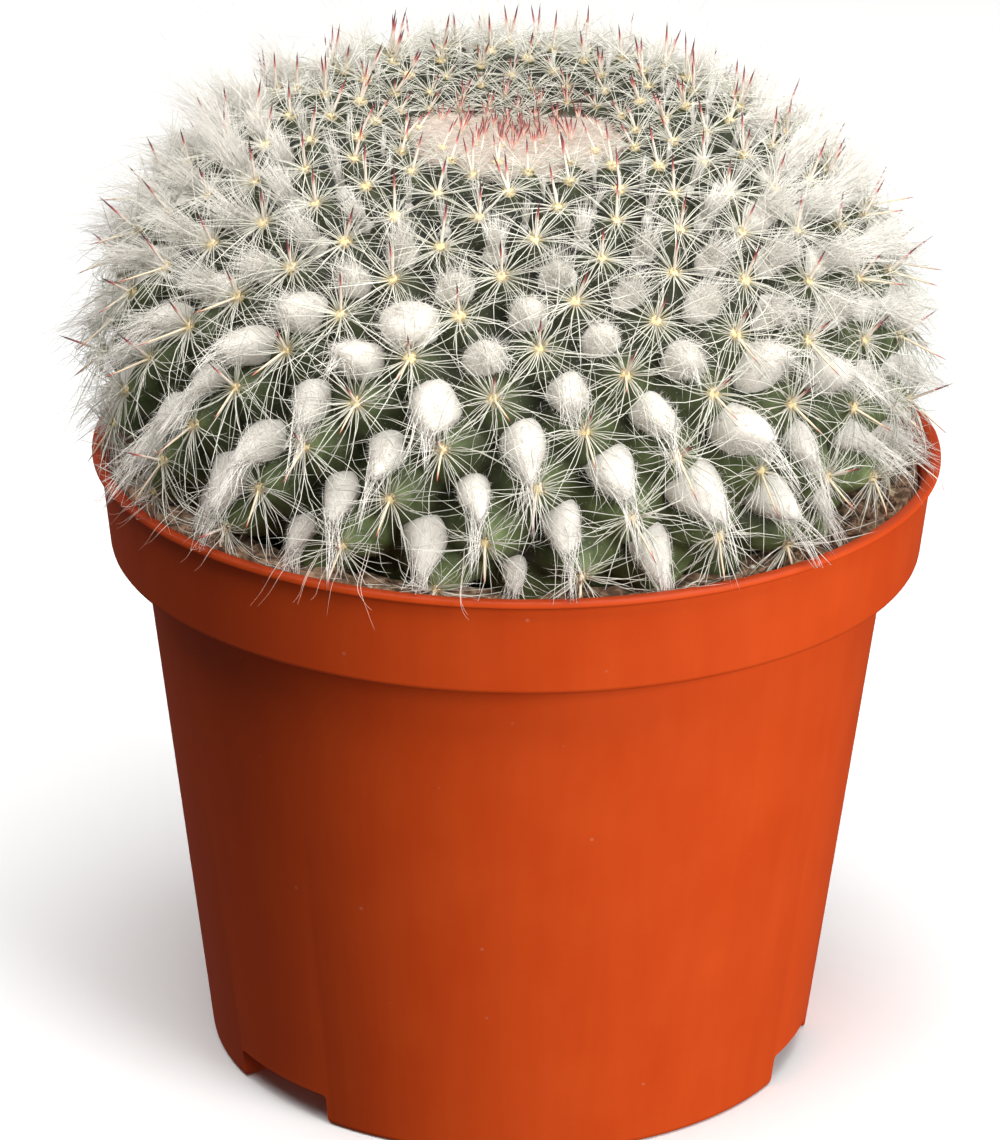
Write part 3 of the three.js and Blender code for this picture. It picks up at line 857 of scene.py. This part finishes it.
def clear_of_pot(paths):
    """Strands stay inside the pot's wall or are laid over its rim, and none dips into the soil."""
    radius = off_axis(paths)
    z = paths[..., 2]
    past = radius > RIM_INSIDE
    first = np.argmax(past, axis=1)
    over = (z[np.arange(len(z)), first] > POT_HEIGHT + 1)[:, None]
    laid = past & over & (z < ON_RIM)
    z = np.where(laid, ON_RIM, z)
    kept = np.where(laid, RIM_INSIDE + 0.35 * (radius - RIM_INSIDE), radius)
    kept = np.where(past & ~over & (z < ON_RIM), RIM_INSIDE, kept)
    inward = kept / np.maximum(radius, 1)
    z = np.where(radius < RIM_INSIDE, np.maximum(z, SOIL_TOP + 0.5), z)
    return np.stack([paths[..., 0] * inward, paths[..., 1] * inward, z], -1)


# -------- areoles and spines


def placed(shape, places, axes, sizes, lumps=0):
    """Points of many copies of a shape, each at its place, turned to its axes and sized."""
    base = points_of(shape.data)
    scaled = base[None] * sizes[:, None, :] * (1 + lumps * rng.normal(size=(len(places), len(base), 1)))
    return np.einsum("cvi,cij->cvj", scaled, axes) + places[:, None]


def copies(name, shape, points):
    """One piece made of many copies of a shape, which is used up, from the points of each copy."""
    faces = [list(face.vertices) for face in shape.data.polygons]
    bpy.data.objects.remove(shape)
    count, each, _ = points.shape
    every = [[v + i * each for v in face] for i in range(count) for face in faces]
    mesh = bpy.data.meshes.new(name)
    mesh.from_pydata((points.reshape(-1, 3) * MM).tolist(), [], every)
    mesh.shade_smooth()
    return piece_of(name, mesh)


NAP_HAIRS = 26  # of one areole


def build_areoles(felt, nap):
    """A low cushion of yellow felt on each tubercle, with a nap of short wool."""
    axes = np.stack([areoles.side, areoles.up, areoles.out], 1)
    young = np.clip(areoles.n / 70, 0.2, 1)[:, None]
    sizes = np.array((0.84, 0.92, 0.55)) * young * choose(0.85, 1.15, (len(axes), 1))
    ball = ball_of("cushion", 8, 6)
    pads = copies("areole_cushions", ball, placed(ball, areoles.place, axes, sizes, 0.06))
    dress(pads, "spines_and_wool", felt, "cactus")
    which = np.repeat(np.arange(len(areoles.n)), NAP_HAIRS)
    angle = choose(0, TURN, len(which))
    tilt = choose(5, 85, len(which)) * DEG
    side, up, out = areoles.side[which], areoles.up[which], areoles.out[which]
    start = directions(out, up, side, angle, np.full(len(which), 0.3))
    root = areoles.place[which] + start * choose(0.3, 0.8, (len(which), 1)) * young[which] - 0.05 * out
    direction = directions(out, up, side, angle, tilt)
    paths = grow(root, direction, choose(0.5, 1.25, len(which)) * young[which][:, 0], 3)
    strands("areole_nap", nap, clear_of_pot(paths), *NAP_WIDTHS)


def radial_paths(chosen, each):
    """The ring of thin spines round each areole, nearly flat on the plant, longer to the sides and below."""
    which = np.repeat(chosen, each)
    count = len(which)
    n = areoles.n[which]
    slot = np.tile(np.arange(each), len(chosen))
    start = np.repeat(choose(0, TURN, len(chosen)), each)
    angle = start + (slot + choose(-0.8, 0.8, count)) * TURN / each
    low = smooth_step(215, 260, n)
    crown = 1 - smooth_step(50, 130, n)
    tilt = (choose(3, 38, count) + 8 * crown) * DEG
    reach = np.clip((1.05 + 0.25 * crown) * areoles.spacing[which] + 0.9, 3.6, 10.6)
    length = reach * choose(0.5, 1.4, count) * (1 - 0.22 * np.maximum(np.cos(angle), 0))
    length = length * (1 - 0.12 * low) * (1 - 0.35 * (1 - smooth_step(100, 165, n)) * np.cos(angle) ** 2)
    out, up, side = areoles.out[which], areoles.up[which], areoles.side[which]
    direction = directions(out, up, side, angle, tilt)
    sideways = directions(out, up, side, angle + math.pi / 2, np.zeros(count))
    loose = (0.28 + 0.42 * smooth_step(120, 210, n))[:, None]
    bow = choose(-0.05, 0.38, (count, 1)) * out + loose * choose(-1, 1, (count, 1)) * sideways
    root = areoles.place[which] + 0.3 * direction
    wave = choose(0, 0.04, count) + 0.02 * low
    return grow(root, direction, length, 5, 1, bow, 0.1 * low, wave), n


def build_radials(finish):
    numbers = areoles.n
    for name, chosen, each in (
        ("radial_spines_upper", (numbers < 120) & ~areoles.felted, 34),
        ("radial_spines_middle", (numbers >= 120) & (numbers < 210), 46),
        ("radial_spines_lower", numbers >= 210, 44),
    ):
        paths, n = radial_paths(np.flatnonzero(chosen), each)
        root = RADIAL_WIDTHS[0] * np.clip(n / 110, 0.6, 1) * choose(0.5, 1.3, len(n))
        strands(name, finish, clear_of_pot(paths), root, RADIAL_WIDTHS[1])


def central_paths(chosen, angle, tilt, length):
    """Stout spines, one to each chosen areole, at an angle from the crown and tilted off the surface."""
    count = len(chosen)
    n = areoles.n[chosen]
    out = areoles.out[chosen]
    aim = angle + rng.normal(0, 0.2, count)
    off = (tilt + rng.normal(0, 6, count)) * DEG
    direction = directions(out, areoles.up[chosen], areoles.side[chosen], aim, off)
    size = length * choose(0.82, 1.15, count) * np.clip(0.3 + n / 133, 0.3, 1)
    paths = grow(areoles.place[chosen] + 0.1 * out, direction, size, 7, choose(-0.07, 0.07, count), out)
    return clear_of_pot(paths)


CENTRAL_LENGTH = 6.4
SECOND_LENGTH = 6
HANGING_LENGTH = 7
NEWEST = 36  # areoles up to this one have young spines
BUDS = 4  # of one of these areoles


def build_centrals(red_tipped, pink_tipped, ivory):
    """One or two stout spines to an areole, up to the crown, and one that hangs down on the lower ones."""
    n = areoles.n
    dice = rng.random(len(n))
    ups = np.flatnonzero((n > NEWEST) & ((n < 226) | (dice < 0.3)))
    behind = smooth_step(-15, 15, areoles.place[:, 1])
    both = (0.12 + 0.5 * behind) * (1 - 0.5 * smooth_step(60, 165, n))
    seconds = np.flatnonzero((n > 20) & (n < 165) & (dice < both))
    downs = np.flatnonzero((n > 180) & (dice < 0.85))
    leaning = np.where(dice[seconds] < 0.25, 1, -1) * 0.9
    paths = [central_paths(ups, 0, 66, CENTRAL_LENGTH), central_paths(seconds, leaning, 70, SECOND_LENGTH)]
    width = CENTRAL_WIDTHS[0] * np.clip(n[np.concatenate([ups, seconds])] / 70, 0.6, 1)
    strands("central_spines", red_tipped, np.concatenate(paths), width, CENTRAL_WIDTHS[1], 1.8, 5)
    newest = np.flatnonzero(n <= NEWEST)
    turned_to = np.tile(np.arange(BUDS) * TURN / BUDS + 0.4, len(newest))
    buds = central_paths(np.repeat(newest, BUDS), turned_to, 72, CENTRAL_LENGTH)
    strands("youngest_spines", pink_tipped, buds, *BUD_WIDTHS, 1.6, 5)
    hanging = central_paths(downs, math.pi, 46, HANGING_LENGTH)
    strands("hanging_spines", ivory, hanging, *HANGING_WIDTHS, 1.6, 5)


# -------- tufts of wool


class Tufts:
    """The tufts of wool in the axils: where each has its middle, the way it points and its size."""

    def __init__(self):
        n = np.arange(TUFT_START, LAST_TUBERCLE + 1)
        three = np.stack([n, n - TUFT_STEPS[0], n - TUFT_STEPS[1]])
        axil = areoles.all_places[three].mean(0)
        axil = axil + FOURTH_SHARE * (areoles.all_places[n - FOURTH_STEP] - axil)
        shown = axil[:, 2] > SOIL_TOP + 4
        n, axil, three = n[shown], axil[shown], three[:, shown]
        count = len(n)
        out = unit(areoles.all_out[three].mean(0))
        self.n = n
        front = np.maximum(-out[:, 1], 0)
        aside = 1 - smooth_step(0.2, 0.85, front)
        self.grown = smooth_step(TUFT_START, TUFT_FULL, n + 18 * aside - 12)
        self.hanging = smooth_step(HANGING_START, HANGING_FULL, n) * (0.35 + 0.65 * front)
        self.front = front
        droop = (0.02 + 0.08 * self.grown + 0.42 * self.hanging) * choose(0.5, 1.5, count)
        swerve = 0.12 * scattered(count)
        self.aim = unit(out + swerve - droop[:, None] * UPWARDS)
        self.up = unit(square_to(areoles.all_up[three].mean(0), self.aim))
        self.side = np.cross(self.aim, self.up)
        squeezed = 0.55 + 0.45 * smooth_step(SOIL_TOP + 3, SOIL_TOP + 13, axil[:, 2])
        chance = choose(0.74, 1.2, count)
        size = chance * squeezed * (1.2 - 0.38 * aside)
        young, more, less = TUFT_RADIUS
        self.radius = (young + more * self.grown**1.7 - less * self.hanging) * size
        self.half = self.radius * (choose(1, 1.45, count) + 0.9 * self.hanging)
        self.taper = choose(0.05, 0.35, count) + 0.42 * self.hanging
        self.depth = (0.26 + 0.06 * self.grown) * tubercle_spacing(n)
        young, more, less = TUFT_REACH
        self.reach = (young + more * self.grown - less * self.hanging) * (0.62 + 0.85 * aside) * chance
        self.reach = self.reach * (1 - 0.28 * smooth_step(235, 285, n))
        self.bushy = 0.28 + 0.57 * aside
        root = self.half - self.radius
        self.middle = axil - self.depth[:, None] * out + 0.8 * root[:, None] * self.aim
        self.waves = 1.7 * rng.normal(size=(count, 3, 3))
        self.phases = choose(0, TURN, (count, 1, 3))

    def shell(self, which, v):
        """Points of the tufts' lumpy surfaces, narrower at their free ends, from their own directions."""
        waves = np.einsum("npk,nwk->npw", v, self.waves[which]) + self.phases[which]
        v = v * (1 + 0.07 * np.sin(waves).sum(-1, keepdims=True))
        narrow = 1 - self.taper[which][:, None, None] * v[..., 2:]
        v = v * np.concatenate([narrow, narrow, np.ones_like(narrow)], -1)
        sizes = (1.06 * self.radius[which], 0.96 * self.radius[which], self.half[which])
        axes = (self.side[which], self.up[which], self.aim[which])
        parts = zip(np.moveaxis(v, -1, 0), sizes, axes)
        return self.middle[which][:, None] + sum(
            (part * size[:, None])[..., None] * axis[:, None] for part, size, axis in parts
        )

    def world(self, which, v):
        """Directions in the tufts' own frames as directions of the pot."""
        return v[:, :1] * self.side[which] + v[:, 1:2] * self.up[which] + v[:, 2:] * self.aim[which]


def tuft_fibres(tufts, chosen, each):
    """Short fibres that lie over a tuft, mostly away from its root, with their ends standing off it."""
    which = np.repeat(chosen, each)
    count = len(which)
    steps = np.linspace(0, 1, 4)
    start = unit(scattered(count) + 0.6 * UPWARDS)
    heading = unit(square_to(scattered(count) * 0.7 + 0.6 * UPWARDS, start))
    turn = choose(0.3, 0.95, (count, 1)) * steps
    v = np.cos(turn)[..., None] * start[:, None] + np.sin(turn)[..., None] * heading[:, None]
    loose = choose(0.9, 1.02, (count, 1)) + choose(0, 1, (count, 1)) ** 2 * 0.42 * steps**2
    return tufts.shell(which, v * loose[..., None])


def tuft_fuzz(tufts, chosen, each):
    """Very short fine hairs that stand off a tuft all over and soften its outline."""
    which = np.repeat(chosen, each)
    count = len(which)
    v = unit(scattered(count) + 0.3 * UPWARDS)
    root = tufts.shell(which, 0.86 * v[:, None])
    off = 0.8 * tufts.world(which, v) + 0.45 * tufts.aim[which] + 0.5 * scattered(count)
    length = choose(0.5, 1.4, (count, 1)) * (0.35 + 0.22 * tufts.radius[which][:, None])
    return np.concatenate([root, root + (unit(off) * length)[:, None]], 1)


STRAGGLERS = 0.14  # share of a tuft's hairs that stand out past the others


def tuft_brush(tufts, chosen, each):
    """The hairs of a tuft: a soft brush out of its axil, with a few that are longer than the rest."""
    which = np.repeat(chosen, np.round(each * tufts.bushy[chosen]).astype(int))
    every = (len(which), 1, 1)
    steps = np.linspace(0, 1, 4)[None, :, None]
    sizes = (tufts.grown, tufts.hanging, tufts.bushy, tufts.radius, tufts.depth, tufts.reach)
    grown, hanging, bushy, radius, depth, reach = (size[which].reshape(every) for size in sizes)
    share = np.sqrt(choose(0, 1, every))
    angle = choose(0, TURN, (len(which), 1))
    across = (np.cos(angle) * tufts.side[which] + np.sin(angle) * tufts.up[which])[:, None]
    spread = (0.5 + (0.1 + 0.8 * bushy) * steps) * (1 - 0.45 * hanging * steps)
    width = share * radius * spread
    straggling = rng.random(every) < STRAGGLERS
    longer = choose(1.02, 1.38, every)
    shorter = 1.04 - (0.45 + 0.35 * bushy) * choose(0, 1, every) ** 0.8
    length = depth + reach * (1 - 0.2 * share**2) * np.where(straggling, longer, shorter)
    paths = tufts.middle[which][:, None] + width * across + length * steps * tufts.aim[which][:, None]
    stray = rng.normal(size=(len(which), 1, 3)) * choose(0.05, 0.27, every)
    stray = stray * (0.35 + 0.65 * grown + 0.8 * hanging)
    fall = (0.02 + 0.06 * grown + 0.12 * hanging) * choose(0.3, 1.7, every)
    return paths + (stray - fall * UPWARDS) * length * steps**2


LOCKS = 4  # of a low tuft: one main lock and smaller ones beside it


def tuft_locks(tufts, chosen, each):
    """Long wavy strands that leave a low tuft's free end in pointed locks, with some loose ones."""
    which = np.repeat(chosen, each)
    count = len(which)
    lock = np.where(rng.random(count) < 0.5, 0, rng.integers(1, LOCKS, count))
    own = np.searchsorted(chosen, which) * LOCKS + lock
    main = (lock == 0)[:, None]
    lean = choose(-1, 1, (len(chosen) * LOCKS, 1))[own] * np.where(main, 1.2, 3.4)
    drop = np.where(main, 1, choose(0.35, 0.95, (len(chosen) * LOCKS, 1))[own])
    angle = choose(0, TURN, (count, 1))
    v = np.concatenate([0.9 * np.cos(angle), 0.9 * np.sin(angle), choose(-0.3, 0.7, (count, 1))], 1)
    base = tufts.shell(which, v[:, None])[:, 0]
    aim, side = tufts.aim[which], tufts.side[which]
    free = tufts.middle[which] + (0.8 * tufts.half[which][:, None] + 0.8) * aim
    bow = free + 0.35 * lean * side + 0.3 * tufts.radius[which][:, None] * scattered(count)
    front = tufts.front[which][:, None]
    down = unit((1.3 - 0.7 * front) * aim - (0.25 + 0.75 * front) * UPWARDS)
    length = (3 + (11 - 5 * front) * tufts.hanging[which][:, None]) * drop * choose(0.8, 1.05, (count, 1))
    astray = np.where(rng.random((count, 1)) < 0.3, 1.3, 0.15)
    end = free + length * down + lean * side + astray * scattered(count)
    s = np.linspace(0, 1, 8)[None, :, None]
    paths = (1 - s) ** 2 * base[:, None] + 2 * s * (1 - s) * bow[:, None] + s**2 * end[:, None]
    return paths + curl(down, length[:, None], s, np.where(astray[:, 0] > 1, 0.07, choose(0.01, 0.03, count)))


LOCK_STRANDS = 22  # of one tuft
# Groups of tufts, from one tubercle to before another, with the brush, cover and fuzz hairs of each tuft.
TUFT_GROUPS = (
    ("young", TUFT_START, 135, 40, 10, 0),
    ("upper", 135, 165, 260, 50, 400),
    ("middle", 165, 195, 270, 60, 650),
    ("full", 195, 225, 240, 60, 650),
    ("lower", 225, 255, 130, 60, 600),
    ("lowest", 255, LAST_TUBERCLE + 1, 80, 40, 400),
)


def build_tufts(wool, fibre, wisp):
    """Each tuft is a soft heart with hairs, and the low ones hang. A few wisps reach over the rim."""
    tufts = Tufts()
    heart = ball_of("heart", 16, 12)
    every = np.arange(len(tufts.n))
    ball = np.broadcast_to(0.88 * points_of(heart.data), (len(every), len(heart.data.vertices), 3))
    hearts = copies("tuft_hearts", heart, clear_of_pot(tufts.shell(every, ball)))
    dress(hearts, "spines_and_wool", wool, "cactus")
    for name, least, below, brush, cover, fuzz in TUFT_GROUPS:
        chosen = np.flatnonzero((tufts.n >= least) & (tufts.n < below))
        paths = np.concatenate([tuft_brush(tufts, chosen, brush), tuft_fibres(tufts, chosen, cover)])
        strands("tuft_hairs_" + name, fibre, clear_of_pot(paths), *TUFT_HAIR_WIDTHS)
        if fuzz:
            paths = tuft_fuzz(tufts, chosen, fuzz)
            strands("tuft_fuzz_" + name, fibre, clear_of_pot(paths), *TUFT_FUZZ_WIDTHS)
    paths = tuft_locks(tufts, np.flatnonzero(tufts.hanging > 0.05), LOCK_STRANDS)
    strands("hanging_locks", fibre, clear_of_pot(paths), *LOCK_WIDTHS)
    strands("wisps_over_the_rim", wisp, wisps_over_rim(), *WISP_WIDTHS)


# Angle from the front towards +X, drop below the rim and sideways slant of the wisps that hang over it.
WISPS = (
    (-66, 6, -5),
    (-61, 5.5, -6.5),
    (-57, 5.2, -5.5),
    (-52, 4.8, -4),
    (-44, 4, -2.5),
    (-31, 6, -3.5),
    (-27, 5, -1.2),
    (-24, 5.5, -0.8),
    (-20, 6, 2.5),
    (-7, 2.5, 1),
    (75, 3, 2),
)


def wisps_over_rim():
    """A few long strands that lie over the pot's rim and hang down outside it."""
    angle, drop, slant = np.repeat(np.array(WISPS, float), 2, axis=0).T
    count = len(angle)
    angle = angle * DEG + rng.normal(0, 0.012, count)
    drop = drop * choose(0.35, 0.85, count)
    turn = slant / RIM_RADIUS
    corners = [
        around(angle - 0.5 * turn, 52.5, choose(97, 101, count)),
        around(angle - 0.15 * turn, 57.5, 94.5),
        around(angle, RIM_RADIUS + 1.0, POT_HEIGHT + 0.9),
        around(angle + 0.5 * turn, RIM_RADIUS + 1.5, POT_HEIGHT - 0.5 * drop),
    ]
    end = angle + turn + rng.normal(0, 0.006, count)
    corners.append(around(end, RIM_RADIUS + choose(1.2, 2.2, count), POT_HEIGHT - drop))
    corners = np.stack(corners, 1)
    steps = np.linspace(0, 4, 17)
    low = np.clip(steps.astype(int), 0, 3)
    share = (steps - low)[None, :, None]
    before, a, b, after = (corners[:, np.clip(low + i, 0, 4)] for i in (-1, 0, 1, 2))
    return 0.5 * (
        2 * a
        + (b - before) * share
        + (2 * before - 5 * a + 4 * b - after) * share**2
        + (3 * a - before - 3 * b + after) * share**3
    )


# -------- the woolly crown

CROWN_HAIRS = 5500
CROWN_ROLL = 0.74  # from the middle of the wool to the top of its roll, as a share of the way to its edge
CROWN_ROLL_WIDTH = 0.22
CROWN_ROLL_HEIGHT = 0.9
CROWN_EDGE = 0.86  # hairs past this share of the way point outwards and are longer


def crown_lift(share, angle):
    """Top of the wool over the tips' surface: a low ring around the hollow, which runs out behind it."""
    behind = smooth_step(0, 0.9, -np.cos(angle))
    ring = CROWN_ROLL_HEIGHT * (1 - behind) * np.exp(-(((share - CROWN_ROLL) / CROWN_ROLL_WIDTH) ** 2))
    return ring - 0.3 - 1.2 * smooth_step(0.82 - 0.5 * behind, 1, share)


def build_crown(felt, fibre):
    """The ring of young wool on the crown, out of which the newest spines grow: a pad and its loose hairs."""
    pad = ball_of("crown_pad", 120, 64)
    ball = points_of(pad.data)
    angle = angle_of(ball)
    share = np.minimum(off_axis(ball), 1)
    lumps = np.array([0.25 * noise.fractal(Vector(p) * 7, 0.8, 2.0, 3) for p in ball])
    top = crown_lift(share, angle) + lumps
    lift = np.where(ball[:, 2] >= 0, top, -2.2)
    set_points(pad.data, on_plant(angle, share * wool_edge(angle), lift)[0])
    bpy.ops.object.shade_smooth()
    dress(pad, "spines_and_wool", felt, "cactus")
    share = np.sqrt(choose(0.01, 1.12, CROWN_HAIRS))
    angle = choose(0, TURN, CROWN_HAIRS)
    root, out, up = on_plant(angle, share * wool_edge(angle), crown_lift(share, angle) - 0.3)
    side = np.cross(out, up)
    turn = rng.normal(0, 1.3, CROWN_HAIRS) + math.pi * (share > CROWN_EDGE)
    direction = directions(out, up, side, turn, choose(5, 32, CROWN_HAIRS) * DEG)
    length = choose(1.2, 2.6, CROWN_HAIRS) * (1 + 0.4 * (share > CROWN_EDGE))
    paths = grow(root, direction, length, 4, choose(0.1, 0.5, CROWN_HAIRS), out, wave=0.06)
    strands("crown_wool", fibre, paths, *CROWN_HAIR_WIDTHS)


# -------- the soil


def underside(points):
    """Height of the plant's smooth underside over or under points of the pot."""
    z = np.full(len(points), 80.0)
    lower = curve[CURVE_STEPS // 2 :]
    for _ in range(6):
        own = upright(np.stack([points[:, 0], points[:, 1], z], -1))
        radius = off_axis(own)
        skin = np.interp(-radius, -lower[:, 0], lower[:, 1], left=200)
        z = np.minimum(z + (skin - own[:, 2]), 200)
    return z


def soil_height(points):
    """Top of the soil: crumbly, and heaped a little towards the wall, most at the front left."""
    rough = [ROUGHNESS * noise.fractal(Vector((x, y, SOIL_TOP)) / 4, 0.7, 2, 4) for x, y in points[:, :2]]
    aside = (angle_of(points) - FRONT_HEAP_ANGLE) / FRONT_HEAP_WIDTH
    heap = HEAP + FRONT_HEAP * np.exp(-(aside**2))
    heap = heap * smooth_step(30, 42, off_axis(points))
    return np.minimum(SOIL_TOP + np.array(rough) + heap, POT_HEIGHT - 0.3)


def build_soil():
    """The soil fills the pot. Its top is crumbly, and dips under the plant, which sits in it."""
    band_bottom = STEP_Z + WALL + GAP
    wall = band_radius(SOIL_TOP) - WALL - GAP
    profile = [
        (0, FLOOR_TOP + GAP),
        (body_radius(FLOOR_TOP) - WALL - GAP, FLOOR_TOP + GAP),
        (STEP_RADIUS - WALL - GAP, band_bottom),
        (band_radius(band_bottom) - WALL - GAP, band_bottom),
        (wall, SOIL_TOP - 1),
    ]
    profile += [(radius, SOIL_TOP) for radius in np.arange(wall - 0.3, 38, -0.5)]
    profile += [(radius, SOIL_TOP) for radius in np.arange(36, 1, -3)]
    profile += [(0, SOIL_TOP)]
    soil = turned("soil_bed", profile, SOIL_STEPS)
    points = points_of(soil.data)
    top = points[:, 2] > SOIL_TOP - 0.5
    points[top, 2] = soil_height(points[top])
    points[top, 2] = np.minimum(points[top, 2], underside(points[top]) + 4)
    set_points(soil.data, points)
    bpy.ops.object.shade_smooth()
    dress(soil, "potting_soil", damp_peat(), "soil")
    scatter_on_soil()


def soil_places(count, margin):
    """Random places on the ring of soil that shows between the plant and the pot."""
    angle = choose(0, TURN, count)
    wall = band_radius(SOIL_TOP) - WALL - margin
    radius = wall - SOIL_RING * choose(0, 1, count)
    places = around(angle, radius, SOIL_TOP)
    places[:, 2] = soil_height(places)
    return places


def random_axes(count, flat):
    """Axes of loose bits: turned at random, and lying flatter where flat is near 1."""
    up = unit(scattered(count) * (1 - flat) + UPWARDS)
    first = unit(np.cross(up, scattered(count)))
    return np.stack([first, np.cross(up, first), up], 1)


def crumb(name, lumpiness):
    """One loose bit: a ball pushed out of round."""
    piece = add(bpy.ops.mesh.primitive_ico_sphere_add, name, subdivisions=1, radius=MM)
    points = points_of(piece.data)
    push = 1 + lumpiness * rng.normal(size=(len(points), 1))
    set_points(piece.data, points * push)
    return piece


# Name, material, its two colours, grain and roughness; count, how flat they lie, half lengths and form.
LOOSE_BITS = (
    ("peat_crumbs", "dry peat", "#3b2c22", "#a58468", 0.001, 0.95, 1500, 0.2, (0.35, 1.1), (1, 0.8, 0.6)),
    ("bark_chips", "bark chips", "#4b3423", "#8f6e4d", 0.0012, 0.85, 150, 0.75, (0.8, 2), (1, 0.5, 0.22)),
    ("pale_husks", "rice husks", "#a58c61", "#dccba4", 0.001, 0.7, 150, 0.7, (0.6, 1.5), (1, 0.55, 0.18)),
    ("quartz_grit", "quartz grit", "#8d8473", "#e6e0d2", 0.0008, 0.5, 150, 0.3, (0.25, 0.6), (1, 0.8, 0.7)),
)


def scatter_on_soil():
    """Crumbs of peat and bark, and pale husks, chips and grit."""
    for name, material, dark, light, grain, roughness, count, flat, (least, most), form in LOOSE_BITS:
        shape = crumb(name, 0.16)
        places = soil_places(count, GAP + most)
        sizes = choose(least, most, (count, 1)) * np.array(form) * choose(0.75, 1.3, (count, 3))
        places[:, 2] += 0.3 * sizes[:, 2]
        clear = places[:, 2] < underside(places) - 0.2
        axes = random_axes(count, flat)
        piece = copies(name + "_bits", shape, placed(shape, places[clear], axes[clear], sizes[clear]))
        dress(piece, "potting_soil", speckled(material, dark, light, grain, Roughness=roughness), "soil")


# -------- everything

place_camera()
build_stage()
build_pot()
build_soil()
build_body()

felt = speckled("areole felt", "#dfc68c", "#efdfb4", 0.0005, Roughness=1)
nap = strand_finish("areole wool", [(0, "#e6d2a0"), (1, "#f2e8cf")], 0.1, Roughness=0.8)
whitish = [(0, "#e4d6a8"), (0.05, "#e8e0c6"), (0.14, "#e3e1d2"), (1, "#eceade")]
radial = strand_finish("white radial spine", whitish, 0.22, Roughness=0.5)
ivory_to_red = [(0, "#ecdba0"), (0.12, "#f6ecdc"), (0.5, "#eed8c9"), (0.6, "#d18679")]
ivory_to_red += [(0.7, "#9f4147"), (0.83, "#582930"), (1, "#33191c")]
red_tipped = strand_finish("red-tipped spine", ivory_to_red, 0.1, Roughness=0.4)
rosy = [(0, "#f3e6d8"), (0.3, "#ecc9bb"), (0.48, "#d4857c"), (0.66, "#8f444a"), (1, "#3c2427")]
pink_tipped = strand_finish("young spine", rosy, 0.15, Roughness=0.4)
brownish = [(0, "#ecdba0"), (0.15, "#f2e4c8"), (0.68, "#ecd0ae"), (0.85, "#bb5f4b"), (1, "#4a2320")]
ivory = strand_finish("ivory spine", brownish, 0.1, Roughness=0.35)
soft = {"Subsurface_Weight": 0.5, "Subsurface_Scale": 0.002, "Subsurface_Radius": (1, 0.95, 0.9)}
# Painted shade: the hearts' wool is a shade darker than the fibres' wool, for the shade deep inside each
# tuft.
wool = speckled("axil wool", "#d8d3ca", "#e4dfd7", 0.0005, Roughness=1, **soft)
off_white = [(0, "#f2eee7"), (0.3, "#f5f1ea"), (1, "#f3eee6")]
fibre = strand_finish("wool fibre", off_white, 0.04, Roughness=0.7)
to_orange = [(0, "#f4ece2"), (0.5, "#efddd0"), (0.72, "#e2ab98"), (1, "#d9917b")]
wisp = strand_finish("wisp of wool", to_orange, 0.1)
crown_felt = speckled("crown felt", "#a59689", "#c0b2a5", 0.0006, Roughness=1)
pinkish = [(0, "#dccdc0"), (0.4, "#e0d3c7"), (1, "#e6dcd2")]
young_wool = strand_finish("young wool", pinkish, 0.04, Roughness=0.7)

build_areoles(felt, nap)
build_radials(radial)
build_centrals(red_tipped, pink_tipped, ivory)
build_tufts(wool, fibre, wisp)
build_crown(crown_felt, young_wool)
